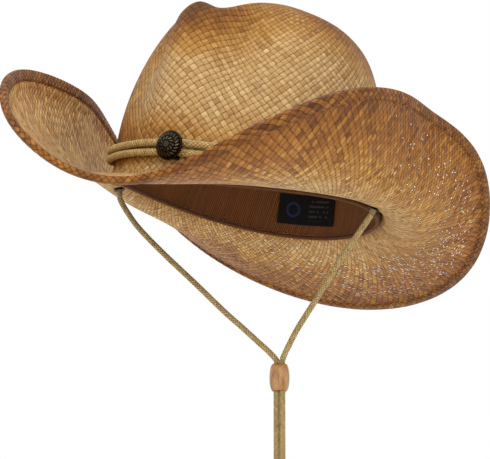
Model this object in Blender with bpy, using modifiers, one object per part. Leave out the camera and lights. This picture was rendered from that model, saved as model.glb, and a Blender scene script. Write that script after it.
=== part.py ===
"""Western straw hat with a pinched crown, curled brim, cord band and chin cord.

The hat stands level, +Z up. Its front looks along -Y and the wearer's left is
at +X. The origin is the middle of the head opening. Sizes are in millimetres
and become metres through MM.
"""

import math

import bmesh
import bpy
import numpy as np
from mathutils import Matrix, Vector

MM = 0.001
GAP = 0.35                      # clearance between pieces that touch

# ---- head opening and straw shell -------------------------------------------
HEAD_HALF_WIDTH = 84.5          # inner skin of the straw at the opening
HEAD_HALF_LENGTH = 94.5
OPENING_RISE = (-0.6, -1.0, -3.9)   # mean height, front-back tilt, saddle
STRAW = 2.0                     # thickness of the woven shell
BREAK_RADIUS = 8.0              # round bend between crown and brim
AROUND = 48                     # stations around the hat

# Brim ribs: angle from the front, edge radius, edge height, slope in degrees
# where the brim leaves the bend, slope in degrees at the edge.
BRIM_RIBS = (
    (0, 185, -27, -13, -8),
    (12, 190, -18, -12, 8),
    (25, 194, 11, -11, 44),
    (38, 178, 41, -9, 66),
    (54, 153, 59, -8, 80),
    (80, 127, 63, -9, 84),
    (110, 144, 49, -24, 70),
    (140, 174, -1, -21, 16),
    (160, 188, -26, -20, -8),
    (180, 194, -35, -19, -14),
)
BRIM_STEPS = (0.0, 0.02, 0.04, 0.15, 0.3, 0.46, 0.64, 0.82, 1.0)
EDGE_ROOM = 4.4                 # from the straw's edge to the outside of the hem
BREAK_STEPS = (0.34, 0.67, 1.0)

# Crown rim, the ridge round the teardrop crease: angle from the nose, radius,
# height, how far the wall rounds over below it, lean of the wall.
CROWN_RIBS = (
    (0, 77.1, 110.4, 12.8, -0.01),
    (9, 75.1, 107.1, 10.7, 0.05),
    (20, 64.8, 113.2, 8.6, 0.12),
    (32, 54.7, 117.9, 15.0, 0.02),
    (46, 45.2, 119.7, 23.7, -0.12),
    (70, 49.0, 116.1, 22.2, -0.03),
    (100, 51.5, 110.8, 15.1, 0.11),
    (130, 55.9, 105.7, 13.6, 0.13),
    (155, 64.0, 99.2, 15.8, 0.115),
    (180, 70.5, 95.7, 17.3, 0.10),
)
CROWN_TURN = -13.0              # the blocker's nose stands 13 degrees off centre
WALL_STEPS = (0.1, 0.2, 0.32, 0.45, 0.58, 0.7, 0.8, 0.9, 1.0)
CREASE_FLOOR = 86.0
CREASE_STEPS = (0.16, 0.32, 0.52, 0.76)
PINCH_ANGLE = 27.0              # the two thumb dents beside the nose
PINCH_SPREAD = 12.0
PINCH_DEPTH = 5.0
PINCH_HEIGHT = 88.0
PINCH_TALL = 30.0

# ---- brim edge --------------------------------------------------------------
HEM = 0.9                       # thickness of the folded raffia hem
HEM_ROOM = 0.6                  # from the straw to the hem
WIRE_DIAMETER = 1.3
FERRULE_BORE = 1.9
FERRULE_DIAMETER = 2.6
FERRULE_HALF_ANGLE = 3.0

# ---- sweatband --------------------------------------------------------------
BAND = 1.1                      # thickness of the ribbed band
BAND_LIFT = 1.5                 # lower edge above the opening line
BAND_TOP_STEP = 0.19            # wall station that the upper edge reaches
PIPING_DIAMETER = 2.8
LABEL_ANGLE = 179.0
LABEL_HALF_WIDTH = 22.0
LABEL_BOTTOM = 4.5
LABEL_TOP = 24.5
LABEL = 0.6

# ---- cord band and ornament -------------------------------------------------
HAT_CORD = 4.9                  # diameter of each braided cord
HAT_CORD_LOWER = 10.7           # centre height at mid-quarter
HAT_CORD_UPPER = 16.9
HAT_CORD_SQUEEZE = 0.14         # share by which the cords close up at the sides
HAT_CORD_LIFT = 5.5             # the band rides over the chin cord's knots
HAT_CORD_LIFT_SPREAD = 20.0
CONCHO_ANGLE = -3.8
CONCHO_RADIUS = 9.25
CONCHO_DOME = 4.6
KEEPER = 1.0                    # strap behind the ornament
KEEPER_WIDTH = 6.0
KEEPER_ROOM = 2.6               # stand-off of the cords for the strap
KEEPER_PLAY = 0.9               # between the cords and the strap

# ---- chin cord --------------------------------------------------------------
CORD = 3.9
EYELET_X = 91.0
EYELET_Y = -8.0
EYELET_TILT = 16.0              # degrees, outwards at the top
EYELET_BORE = 4.6
EYELET_BARREL = 5.4
EYELET_FLANGE = 7.6
EYELET_HOLE = 6.1
FLANGE = 0.6
HINGE_DROP = 3.4                # swing axis below the straw at the eyelets
KNOT_RADIUS = 3.4
TAIL_SPLIT = 2.1                # each strand from the middle of the tail
LEAN = 0.165                    # sideways run per unit of tail length
BEAD_CENTRE = (44.0, -110.6)
BEAD_HALF_LENGTH = 8.5
BEAD_RADIUS = 6.3
BEAD_BORE = 9.2
TAIL_KNOT_RADIUS = 6.0
TAIL_END_LENGTH = 15.0

# Routes in the plane of the two eyelets: x, z.
STRAND_RIGHT = ((-88.4, -6), (-82.0, -13.5), (-71.5, -23.5), (-51, -38.5),
                (-25, -56), (-1, -72.5), (14, -82), (25.5, -89.5), (34, -95))
STRAND_LEFT = ((88.2, -5.5), (83.0, -15), (74.5, -30), (66.5, -47.5),
               (58, -65), (51.2, -79), (47, -90))
TAIL = ((42.2, -99.8), (43.0, -104.5), (44.0, -110.6), (46.6, -126.4), (49.2, -142),
        (51.8, -157.6), (53.7, -170), (55.2, -184), (55.8, -197))


# ---- collections, materials and small helpers -------------------------------

def clear_scene():
    """Empty the file of objects."""
    for thing in list(bpy.data.objects):
        bpy.data.objects.remove(thing, do_unlink=True)


def new_collection(name):
    """Return a fresh collection linked to the scene."""
    made = bpy.data.collections.new(name)
    bpy.context.scene.collection.children.link(made)
    return made


clear_scene()
PARTS = new_collection("cowboy_hat")
CUTTERS = new_collection("cutters")


def material(name, colour, roughness, metallic=0.0):
    """Return a Principled material."""
    made = bpy.data.materials.new(name)
    made.use_nodes = True
    shader = made.node_tree.nodes["Principled BSDF"]
    shader.inputs["Base Color"].default_value = (*colour, 1.0)
    shader.inputs["Roughness"].default_value = roughness
    shader.inputs["Metallic"].default_value = metallic
    made.diffuse_color = (*colour, 1.0)
    return made


def rename(thing, name, finish):
    """Name an object and its data, and give it one material."""
    thing.name = name
    thing.data.name = name
    thing.data.materials.clear()
    thing.data.materials.append(finish)
    return thing


def mesh_object(name, points, faces, finish, home=PARTS):
    """Make a mesh object from points in millimetres and faces."""
    mesh = bpy.data.meshes.new(name)
    scaled = [tuple(float(c) * MM for c in p) for p in points]
    mesh.from_pydata(scaled, [], [tuple(int(i) for i in f) for f in faces])
    mesh.update()
    build = bmesh.new()
    build.from_mesh(mesh)
    bmesh.ops.recalc_face_normals(build, faces=build.faces)
    build.to_mesh(mesh)
    build.free()
    thing = bpy.data.objects.new(name, mesh)
    home.objects.link(thing)
    smooth(thing)
    return rename(thing, name, finish)


def smooth(thing, sharp=40.0):
    """Shade a mesh smooth with sharp edges kept."""
    thing.data.shade_smooth()
    thing.data.set_sharp_from_angle(angle=math.radians(sharp))


def loft_faces(rings, size, ring_closed, section_closed):
    """Faces between rings of equal size, numbered ring by ring."""
    faces = []
    last = rings if ring_closed else rings - 1
    width = size if section_closed else size - 1
    for i in range(last):
        for j in range(width):
            a = i * size + j
            b = i * size + (j + 1) % size
            c = ((i + 1) % rings) * size + (j + 1) % size
            d = ((i + 1) % rings) * size + j
            faces.append((a, b, c, d))
    return faces


def closed_loft(name, sections, finish, ring_closed=True):
    """Solid through closed sections, as a ring or with flat ends."""
    rings = len(sections)
    size = len(sections[0])
    faces = loft_faces(rings, size, ring_closed, True)
    if not ring_closed:
        faces.append(tuple(range(size)))
        faces.append(tuple(range((rings - 1) * size, rings * size)))
    points = [p for section in sections for p in section]
    return mesh_object(name, points, faces, finish)


def tube(name, points, diameter, finish, cyclic=False, sides=2):
    """Round bar along points in millimetres."""
    curve = bpy.data.curves.new(name, "CURVE")
    curve.dimensions = "3D"
    curve.bevel_depth = diameter / 2 * MM
    curve.bevel_resolution = sides
    curve.use_fill_caps = not cyclic
    spline = curve.splines.new("POLY")
    spline.points.add(len(points) - 1)
    for slot, point in zip(spline.points, points):
        slot.co = (*(c * MM for c in point), 1.0)
    spline.use_cyclic_u = cyclic
    thing = bpy.data.objects.new(name, curve)
    PARTS.objects.link(thing)
    return rename(thing, name, finish)


def turned(name, profile, finish, steps=24):
    """Turn a closed profile of (radius, height) in millimetres round Z."""
    mesh = bpy.data.meshes.new(name)
    points = [(r * MM, 0.0, z * MM) for r, z in profile]
    edges = [(i, i + 1) for i in range(len(points) - 1)]
    if profile[0][0] > 0 or profile[-1][0] > 0:
        edges.append((len(points) - 1, 0))
    mesh.from_pydata(points, edges, [])
    thing = bpy.data.objects.new(name, mesh)
    PARTS.objects.link(thing)
    screw = thing.modifiers.new("turn", "SCREW")
    screw.steps = steps
    screw.render_steps = steps
    screw.use_merge_vertices = True
    screw.merge_threshold = 0.00001
    screw.use_smooth_shade = True
    return rename(thing, name, finish)


def place(thing, origin, axis):
    """Put an object's Z axis along axis, with its origin at origin."""
    turn = Vector(axis).to_track_quat("Z", "Y").to_matrix().to_4x4()
    thing.matrix_world = Matrix.Translation(Vector(origin) * MM) @ turn


# ---- curves of the form -----------------------------------------------------

def rib_value(ribs, column, angles):
    """Smooth periodic cubic through mirrored ribs, read at angles in degrees."""
    knots = np.array([r[0] for r in ribs], float)
    values = np.array([r[column] for r in ribs], float)
    x = np.concatenate([-knots[:0:-1], knots])
    y = np.concatenate([values[:0:-1], values])
    count = len(x) - 1
    step = np.diff(x)
    rise = np.diff(y) / step
    system = np.zeros((count, count))
    right = np.zeros(count)
    for i in range(count):
        before = step[i - 1]
        system[i, i - 1] += before
        system[i, i] += 2 * (before + step[i])
        system[i, (i + 1) % count] += step[i]
        right[i] = 6 * (rise[i] - rise[i - 1])
    bend = np.linalg.solve(system, right)
    bend = np.append(bend, bend[0])
    at = (np.asarray(angles, float) + 180.0) % 360.0 - 180.0
    k = np.clip(np.searchsorted(x, at, side="right") - 1, 0, count - 1)
    a = (x[k + 1] - at) / step[k]
    b = (at - x[k]) / step[k]
    curve = (a ** 3 - a) * bend[k] + (b ** 3 - b) * bend[k + 1]
    return a * y[k] + b * y[k + 1] + curve * step[k] ** 2 / 6


def bezier(corners, steps):
    """Cubic curves from four corner arrays, one row for each station."""
    t = np.asarray(steps, float)[None, :, None]
    p = [c[:, None, :] for c in corners]
    return ((1 - t) ** 3 * p[0] + 3 * (1 - t) ** 2 * t * p[1]
            + 3 * (1 - t) * t ** 2 * p[2] + t ** 3 * p[3])


def heading(degrees):
    """Unit vectors (outward, up) for slopes in degrees."""
    slope = np.radians(degrees)
    return np.stack([np.cos(slope), np.sin(slope)], axis=1)


def opening_line(angles):
    """Radius and height of the inner skin's corner at the head opening."""
    t = np.radians(angles)
    radius = 1 / np.sqrt((np.sin(t) / HEAD_HALF_WIDTH) ** 2
                         + (np.cos(t) / HEAD_HALF_LENGTH) ** 2)
    mean, tilt, saddle = OPENING_RISE
    height = mean + tilt * np.cos(t) + saddle * np.cos(2 * t)
    return np.stack([radius, height], axis=1)


def brim_curve(angles, steps):
    """Inner-skin points of the brim, from the edge to the bend."""
    corner = opening_line(angles)
    leave = heading(rib_value(BRIM_RIBS, 3, angles))
    arrive = heading(rib_value(BRIM_RIBS, 4, angles))
    edge = np.stack([rib_value(BRIM_RIBS, 1, angles),
                     rib_value(BRIM_RIBS, 2, angles)], axis=1)
    edge = edge - EDGE_ROOM * arrive
    start = corner + BREAK_RADIUS * leave
    reach = np.linalg.norm(edge - start, axis=1)[:, None]
    return bezier((edge, edge - 0.36 * reach * arrive,
                   start + 0.42 * reach * leave, start), steps)


def break_curve(angles, steps):
    """Inner-skin points of the round bend, from the brim to the wall."""
    corner = opening_line(angles)[:, None, :]
    leave = heading(rib_value(BRIM_RIBS, 3, angles))[:, None, :]
    start = corner + BREAK_RADIUS * leave
    end = corner + np.array([0.0, BREAK_RADIUS])
    t = np.asarray(steps, float)[None, :, None]
    return (1 - t) ** 2 * start + 2 * (1 - t) * t * corner + t ** 2 * end


def crown_rim(angles):
    """Radius and height of the ridge round the crease."""
    turned_angles = angles - CROWN_TURN
    return np.stack([rib_value(CROWN_RIBS, 1, turned_angles),
                     rib_value(CROWN_RIBS, 2, turned_angles)], axis=1)


def wall_curve(angles, steps):
    """Inner-skin points of the crown's wall, from the bend to the rim."""
    local = angles - CROWN_TURN
    foot = opening_line(angles) + np.array([0.0, BREAK_RADIUS])
    rim = crown_rim(angles)
    tall = 0.42 * (rim[:, 1] - foot[:, 1])
    lean = rib_value(CROWN_RIBS, 4, local)
    shoulder = rib_value(CROWN_RIBS, 3, local)
    low = foot + np.stack([-lean * tall, tall], axis=1)
    high = rim + np.stack([shoulder, 0 * shoulder], axis=1)
    wall = bezier((foot, low, high, rim), steps)
    folded = np.abs((local + 180.0) % 360.0 - 180.0)
    side = np.exp(-((folded - PINCH_ANGLE) / PINCH_SPREAD) ** 2)
    level = np.exp(-((wall[..., 1] - PINCH_HEIGHT) / PINCH_TALL) ** 2)
    wall[..., 0] -= PINCH_DEPTH * side[:, None] * level
    return wall


def crease_curve(angles, steps):
    """Inner-skin points of the teardrop crease, from the rim inwards."""
    rim = wall_curve(angles, (1.0,))[:, 0]
    over = rim * np.array([0.70, 1.0])
    floor = np.stack([0.5 * rim[:, 0], np.full(len(angles), CREASE_FLOOR)], axis=1)
    middle = np.stack([0 * rim[:, 0], np.full(len(angles), CREASE_FLOOR)], axis=1)
    return bezier((rim, over, floor, middle), steps)


def around(angles, section):
    """Turn (radius, height) rows into points, one row for each angle."""
    t = np.radians(angles)[:, None]
    return np.stack([section[..., 0] * np.sin(t), -section[..., 0] * np.cos(t),
                     section[..., 1] + 0 * t], axis=-1)


def stations(count=AROUND):
    """Angles of the stations round the hat."""
    return np.arange(count) * 360.0 / count - 180.0


def skin_grid(angles):
    """Inner skin of the whole shell, edge to crease, without the middle."""
    rows = (brim_curve(angles, BRIM_STEPS), break_curve(angles, BREAK_STEPS),
            wall_curve(angles, WALL_STEPS), crease_curve(angles, CREASE_STEPS))
    return around(angles, np.concatenate(rows, axis=1))


def edge_frame(angles, steps):
    """Brim points near the edge with unit vectors out of and across the straw."""
    small = 0.25
    here = around(angles, brim_curve(angles, steps))
    on = around(angles + small, brim_curve(angles + small, steps))
    back = around(angles - small, brim_curve(angles - small, steps))
    inward = around(angles, brim_curve(angles, np.asarray(steps) + 0.01))
    along = on - back
    out = here - inward
    across = np.cross(out, along)
    across /= np.linalg.norm(across, axis=-1, keepdims=True)
    away = np.cross(along, across)
    away /= np.linalg.norm(away, axis=-1, keepdims=True)
    return here, away, across


# ---- straw shell, hem and wire ----------------------------------------------

def raffia_body(finish):
    """Crown and brim woven in one piece, with a hole for each eyelet."""
    angles = stations()
    grid = skin_grid(angles)
    size = grid.shape[1]
    points = [p for row in grid for p in row]
    points.append((0.0, 0.0, CREASE_FLOOR))
    faces = loft_faces(AROUND, size, True, False)
    middle = len(points) - 1
    for i in range(AROUND):
        faces.append((i * size + size - 1, middle, ((i + 1) % AROUND) * size + size - 1))
    body = mesh_object("raffia_body", points, faces, finish)
    top = max(body.data.polygons, key=lambda f: f.center.z)
    shell = body.modifiers.new("straw", "SOLIDIFY")
    shell.thickness = STRAW * MM
    shell.offset = 1.0 if top.normal.z > 0 else -1.0
    shell.use_even_offset = True
    for side in (-1, 1):
        bore = body.modifiers.new("eyelet_hole", "BOOLEAN")
        bore.object = eyelet_cutter(side)
        bore.solver = "EXACT"
    return body


def eyelet_cutter(side):
    """Round cutter through the brim beside the head opening."""
    bpy.ops.mesh.primitive_cylinder_add(
        vertices=24, radius=EYELET_HOLE / 2 * MM, depth=12 * MM)
    cutter = bpy.context.object
    cutter.name = "cut_left" if side > 0 else "cut_right"
    for home in list(cutter.users_collection):
        home.objects.unlink(cutter)
    CUTTERS.objects.link(cutter)
    cutter.hide_render = True
    cutter.display_type = "WIRE"
    place(cutter, *eyelet_frame(side))
    return cutter


def brim_edge_hem(finish):
    """Strip of raffia folded over the brim's edge and its wire."""
    angles = stations()
    here, away, across = edge_frame(angles, BRIM_STEPS[:3])
    near = HEM_ROOM
    far = STRAW + HEM_ROOM
    bulge = HEM_ROOM + FERRULE_DIAMETER + GAP
    sections = []
    for p, out, up in zip(here, away, across):
        inner = [p[2] - near * up[2], p[1] - near * up[1],
                 p[0] + 0.6 * out[0] - near * up[0],
                 p[0] + bulge * out[0] - 0.1 * up[0],
                 p[0] + bulge * out[0] + (STRAW + 0.1) * up[0],
                 p[0] + 0.6 * out[0] + far * up[0],
                 p[1] + far * up[1], p[2] + far * up[2]]
        low = near + HEM
        high = far + HEM
        outer = [p[2] + high * up[2], p[1] + high * up[1],
                 p[0] + 0.9 * out[0] + high * up[0],
                 p[0] + (bulge + HEM) * out[0] + (STRAW + 0.6) * up[0],
                 p[0] + (bulge + HEM) * out[0] - 0.6 * up[0],
                 p[0] + 0.9 * out[0] - low * up[0],
                 p[1] - low * up[1], p[2] - low * up[2]]
        sections.append(inner + outer)
    return closed_loft("brim_edge_hem", sections, finish)


def wire_line(angles):
    """Centre line of the brim wire and its frame."""
    here, away, across = edge_frame(angles, (0.0,))
    middle = here[:, 0] + across[:, 0] * STRAW / 2
    centre = middle + away[:, 0] * (HEM_ROOM + FERRULE_DIAMETER / 2)
    return centre, away[:, 0], across[:, 0]


def brim_wire(finish):
    """Steel wire that keeps the brim's shape."""
    centre, _, _ = wire_line(stations())
    return tube("brim_wire", centre, WIRE_DIAMETER, finish, cyclic=True)


def wire_ferrule(finish):
    """Sleeve that joins the wire's two ends at the back."""
    angles = 180.0 + np.linspace(-1, 1, 5) * FERRULE_HALF_ANGLE
    ends = 180.0 + np.array([-1, 0, 1]) * 360.0 / AROUND
    chord, away, across = wire_line(ends)
    sections = []
    for turn in np.arange(12) * math.tau / 12:
        bore = []
        skin = []
        for angle in angles:
            blend = (angle - 180.0) / (360.0 / AROUND)
            side = 2 if blend > 0 else 0
            part = abs(blend)
            middle = chord[1] * (1 - part) + chord[side] * part
            ray = math.cos(turn) * away[1] + math.sin(turn) * across[1]
            bore.append(middle + ray * FERRULE_BORE / 2)
            skin.append(middle + ray * FERRULE_DIAMETER / 2)
        sections.append(skin + bore[::-1])
    return closed_loft("wire_ferrule", sections, finish)


# ---- sweatband --------------------------------------------------------------

def band_rows(angles, inset):
    """Rows of the sweatband's face, set in from the straw."""
    corner = opening_line(angles)
    low = corner + np.array([0.0, BAND_LIFT])
    foot = corner + np.array([0.0, BREAK_RADIUS])
    upper = wall_curve(angles, (WALL_STEPS[0], BAND_TOP_STEP))
    rows = np.stack([low, foot, upper[:, 0], upper[:, 1]], axis=1)
    rows[..., 0] -= inset
    return around(angles, rows)


def sweatband(finish):
    """Ribbed fabric band inside the opening."""
    angles = stations()
    outer = band_rows(angles, GAP + 0.25)
    inner = band_rows(angles, GAP + 0.25 + BAND)
    sections = [list(o) + list(i[::-1]) for o, i in zip(outer, inner)]
    return closed_loft("sweatband", sections, finish)


def sweatband_piping(finish):
    """Corded edge below the sweatband."""
    angles = stations()
    rows = opening_line(angles)
    rows = rows + np.array([-(GAP + 0.25 + PIPING_DIAMETER / 2),
                            BAND_LIFT - GAP - PIPING_DIAMETER / 2])
    path = around(angles, rows[:, None, :])[:, 0]
    return tube("sweatband_piping", path, PIPING_DIAMETER, finish, cyclic=True)


def woven_label(finish):
    """Small cloth label sewn inside the back of the sweatband."""
    half = math.degrees(LABEL_HALF_WIDTH / HEAD_HALF_LENGTH)
    angles = LABEL_ANGLE + np.linspace(-half, half, 9)
    corner = opening_line(angles)
    wall = wall_curve(angles, np.linspace(0.0, 0.25, 11))
    heights = np.linspace(LABEL_BOTTOM, LABEL_TOP, 4)
    sections = []
    for i, angle in enumerate(angles):
        known = np.append(corner[i, 0], wall[i, :, 0])
        level = np.append(corner[i, 1], wall[i, :, 1])
        radius = np.interp(heights, level, known) - (GAP + 0.25 + BAND + GAP + 0.4)
        outer = np.stack([radius, heights], axis=1)
        inner = outer - np.array([LABEL, 0.0])
        loop = np.concatenate([outer, inner[::-1]])
        sections.append(list(around(np.array([angle]), loop[None])[0]))
    return closed_loft("woven_label", sections, finish, ring_closed=False)


# ---- cord band and ornament -------------------------------------------------

def cord_ring(angles, height):
    """Centre line of one band cord."""
    t = np.radians(angles)
    folded = np.abs(angles)
    lift = HAT_CORD_LIFT * np.exp(-((folded - 86.0) / HAT_CORD_LIFT_SPREAD) ** 2)
    middle = (HAT_CORD_LOWER + HAT_CORD_UPPER) / 2
    apart = (height - middle) * (1 - HAT_CORD_SQUEEZE * np.sin(t) ** 2)
    level = middle + apart - np.cos(2 * t) + lift
    wall = np.concatenate([break_curve(angles, np.linspace(0, 1, 9)),
                           wall_curve(angles, np.linspace(0.02, 0.3, 9))], axis=1)
    radius = np.array([np.interp((z - HAT_CORD / 2, z + HAT_CORD / 2),
                                 row[:, 1], row[:, 0]).max()
                       for z, row in zip(level, wall)])
    away = (angles - CONCHO_ANGLE) / 8.0
    stand = KEEPER_ROOM * np.exp(-away ** 2)
    radius = radius + STRAW + HAT_CORD / 2 + 0.5 + stand
    return around(angles, np.stack([radius, level], axis=1)[:, None, :])[:, 0]


def hatband_cord(name, height, finish):
    """One of the two braided cords round the crown."""
    fine = stations(64)
    return tube(name, cord_ring(fine, height), HAT_CORD, finish, cyclic=True)


def concho_frame():
    """Point on the wall behind the ornament, and its outward direction."""
    angles = np.array([CONCHO_ANGLE])
    ring = cord_ring(angles, (HAT_CORD_LOWER + HAT_CORD_UPPER) / 2)[0]
    t = math.radians(CONCHO_ANGLE)
    outward = Vector((math.sin(t) / HEAD_HALF_WIDTH, -math.cos(t) / HEAD_HALF_LENGTH, 0))
    return Vector(ring), outward.normalized()


def concho_dome(finish):
    """Domed face of the ornament."""
    r = CONCHO_RADIUS
    h = CONCHO_DOME
    profile = [(0, h), (0.3 * r, 0.95 * h), (0.58 * r, 0.78 * h), (0.8 * r, 0.5 * h),
               (0.94 * r, 0.24 * h), (r, 0.1 * h), (0.97 * r, 0), (0, 0)]
    thing = turned("concho_dome", profile, finish, steps=28)
    centre, outward = concho_frame()
    start = centre + outward * (HAT_CORD / 2 + KEEPER + 1.0)
    place(thing, start, outward)
    return thing


def concho_keeper(finish):
    """Strap loop behind the ornament that both cords pass through."""
    reach = (HAT_CORD_UPPER - HAT_CORD_LOWER) / 2 + HAT_CORD / 2 + 0.4
    back = -(HAT_CORD / 2 + KEEPER_PLAY)
    front = HAT_CORD / 2 + KEEPER + 1.0 - GAP
    outline = [(back - KEEPER, reach + KEEPER), (front, reach + KEEPER),
               (front, -reach - KEEPER), (back - KEEPER, -reach - KEEPER)]
    inner = [(back, reach), (back, -reach), (front - 0.9, -reach), (front - 0.9, reach)]
    curve = bpy.data.curves.new("concho_keeper", "CURVE")
    curve.dimensions = "2D"
    curve.fill_mode = "BOTH"
    curve.extrude = KEEPER_WIDTH / 2 * MM
    for loop in (outline, inner):
        spline = curve.splines.new("POLY")
        spline.points.add(len(loop) - 1)
        for slot, (u, v) in zip(spline.points, loop):
            slot.co = (u * MM, v * MM, 0.0, 1.0)
        spline.use_cyclic_u = True
    thing = bpy.data.objects.new("concho_keeper", curve)
    PARTS.objects.link(thing)
    centre, outward = concho_frame()
    side = Vector((0, 0, 1)).cross(outward).normalized()
    turn = Matrix((outward, Vector((0, 0, 1)), -side)).transposed().to_4x4()
    thing.matrix_world = Matrix.Translation(centre * MM) @ turn
    return rename(thing, "concho_keeper", finish)


# ---- eyelets, knots and chin cord -------------------------------------------

def eyelet_frame(side):
    """Point on the inner skin at an eyelet, and the hole's upward axis."""
    angle = math.degrees(math.atan2(EYELET_X, -EYELET_Y))
    angles = np.array([angle])
    line = np.concatenate([brim_curve(angles, np.linspace(0.8, 0.99, 9)),
                           break_curve(angles, np.linspace(0, 1, 17))], axis=1)[0]
    radius = math.hypot(EYELET_X, EYELET_Y)
    height = float(np.interp(-radius, -line[:, 0], line[:, 1]))
    tilt = math.radians(EYELET_TILT)
    axis = Vector((side * math.sin(tilt), 0, math.cos(tilt)))
    return Vector((side * EYELET_X, EYELET_Y, height)), axis


def eyelet(side, finish):
    """Flanged barrel pressed up through the brim from below."""
    name = "eyelet_left" if side > 0 else "eyelet_right"
    low = -GAP - 0.15
    top = STRAW + 1.9
    r = EYELET_BARREL / 2
    bore = EYELET_BORE / 2
    lip = EYELET_FLANGE / 2
    profile = [(r, top), (r, low), (lip, low), (lip, low - FLANGE), (bore, low - FLANGE),
               (bore, top)]
    thing = turned(name, profile, finish, steps=20)
    place(thing, *eyelet_frame(side))
    return thing


def eyelet_washer(side, finish):
    """Ring that the barrel is closed over, above the brim."""
    name = "eyelet_washer_left" if side > 0 else "eyelet_washer_right"
    low = STRAW + 1.2
    inner = EYELET_BARREL / 2 + 0.3
    outer = EYELET_FLANGE / 2
    profile = [(outer, low + 0.5), (outer, low), (inner, low), (inner, low + 0.5)]
    thing = turned(name, profile, finish, steps=20)
    place(thing, *eyelet_frame(side))
    return thing


def stopper_knot(side, finish):
    """Knot above the brim with the cord's end through the eyelet."""
    name = "stopper_knot_left" if side > 0 else "stopper_knot_right"
    r = CORD / 2
    low = -GAP - 0.15 - FLANGE - 0.2
    base = STRAW + 2.4
    k = KNOT_RADIUS
    profile = [(0, base + 5.6), (0.55 * k, base + 5.2), (0.9 * k, base + 4.0),
               (k, base + 2.6), (0.85 * k, base + 1.0), (r, base + 0.3), (r, low), (0, low)]
    thing = turned(name, profile, finish, steps=16)
    place(thing, *eyelet_frame(side))
    return thing


def smooth_line(points, spacing):
    """Even points along a smooth curve through hand-chosen points."""
    p = np.array(points, float)
    ghost = np.vstack([2 * p[0] - p[1], p, 2 * p[-1] - p[-2]])
    fine = []
    for i in range(1, len(ghost) - 2):
        a, b, c, d = ghost[i - 1:i + 3]
        for t in np.linspace(0, 1, 16, endpoint=False):
            fine.append(0.5 * (2 * b + (c - a) * t + (2 * a - 5 * b + 4 * c - d) * t ** 2
                               + (3 * b - a - 3 * c + d) * t ** 3))
    fine.append(p[-1])
    fine = np.array(fine)
    run = np.append(0, np.cumsum(np.linalg.norm(np.diff(fine, axis=0), axis=1)))
    count = max(2, int(round(run[-1] / spacing)) + 1)
    at = np.linspace(0, run[-1], count)
    return np.stack([np.interp(at, run, fine[:, k]) for k in range(p.shape[1])], axis=1)


def hinge_point(side):
    """Where a strand starts, on the swing axis below its eyelet."""
    point, axis = eyelet_frame(side)
    return np.array([point.x - axis.x * HINGE_DROP, point.z - HINGE_DROP])


def chin_cord(side, finish):
    """One strand from the swing axis through the bead to the tail knot."""
    name = "chin_cord_left" if side > 0 else "chin_cord_right"
    strand = STRAND_LEFT if side > 0 else STRAND_RIGHT
    tail = np.array(TAIL)
    aim = np.gradient(tail, axis=0)
    aim /= np.linalg.norm(aim, axis=1, keepdims=True)
    across = np.stack([-aim[:, 1], aim[:, 0]], axis=1)
    route = [hinge_point(side), *strand, *(tail + side * TAIL_SPLIT * across)]
    line = smooth_line(route, 2.4 * CORD)
    points = [(x, EYELET_Y, z) for x, z in line]
    return tube(name, points, CORD, finish)


def lean_axis():
    """Direction of the tail, pointing down."""
    return Vector((LEAN, 0.0, -1.0)).normalized()


def slide_bead(finish):
    """Turned barrel bead that slides on both strands."""
    bore = BEAD_BORE / 2
    half = BEAD_HALF_LENGTH
    bulge = BEAD_RADIUS - bore
    outside = []
    for k in range(9):
        z = half - k * half / 4
        swell = math.sqrt(max(0.0, 1 - (z / half) ** 2 * 0.86))
        outside.append((bore + bulge * swell, z))
    profile = [*outside, (bore, -half + 0.3), (bore, half - 0.3)]
    thing = turned("slide_bead", profile, finish, steps=24)
    x, z = BEAD_CENTRE
    place(thing, (x, EYELET_Y, z), -lean_axis())
    return thing


def tail_frame():
    """Last tail point and the direction the tail leaves it."""
    end = Vector((TAIL[-1][0], EYELET_Y, TAIL[-1][1]))
    before = Vector((TAIL[-2][0], EYELET_Y, TAIL[-2][1]))
    return end, (end - before).normalized()


def tail_knot(finish):
    """Knot that ends the tail."""
    k = TAIL_KNOT_RADIUS
    profile = [(0, 0), (0.72 * k, -0.1), (0.95 * k, -1.6), (k, -4.2), (0.92 * k, -7.2),
               (0.7 * k, -9.4), (0, -9.8)]
    thing = turned("tail_knot", profile, finish, steps=20)
    end, down = tail_frame()
    place(thing, end + down * GAP, -down)
    return thing


def cord_end(side, finish):
    """Short free end of one strand below the tail knot."""
    name = "cord_end_left" if side > 0 else "cord_end_right"
    end, down = tail_frame()
    start = end + down * (GAP + 9.8 + GAP)
    points = []
    for k in range(4):
        run = k / 3
        spread = side * (TAIL_SPLIT + 1.6 * run ** 1.5)
        points.append(tuple(start + down * TAIL_END_LENGTH * run + Vector((spread, 0, 0))))
    return tube(name, points, CORD, finish)


# ---- assembly ---------------------------------------------------------------

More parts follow.
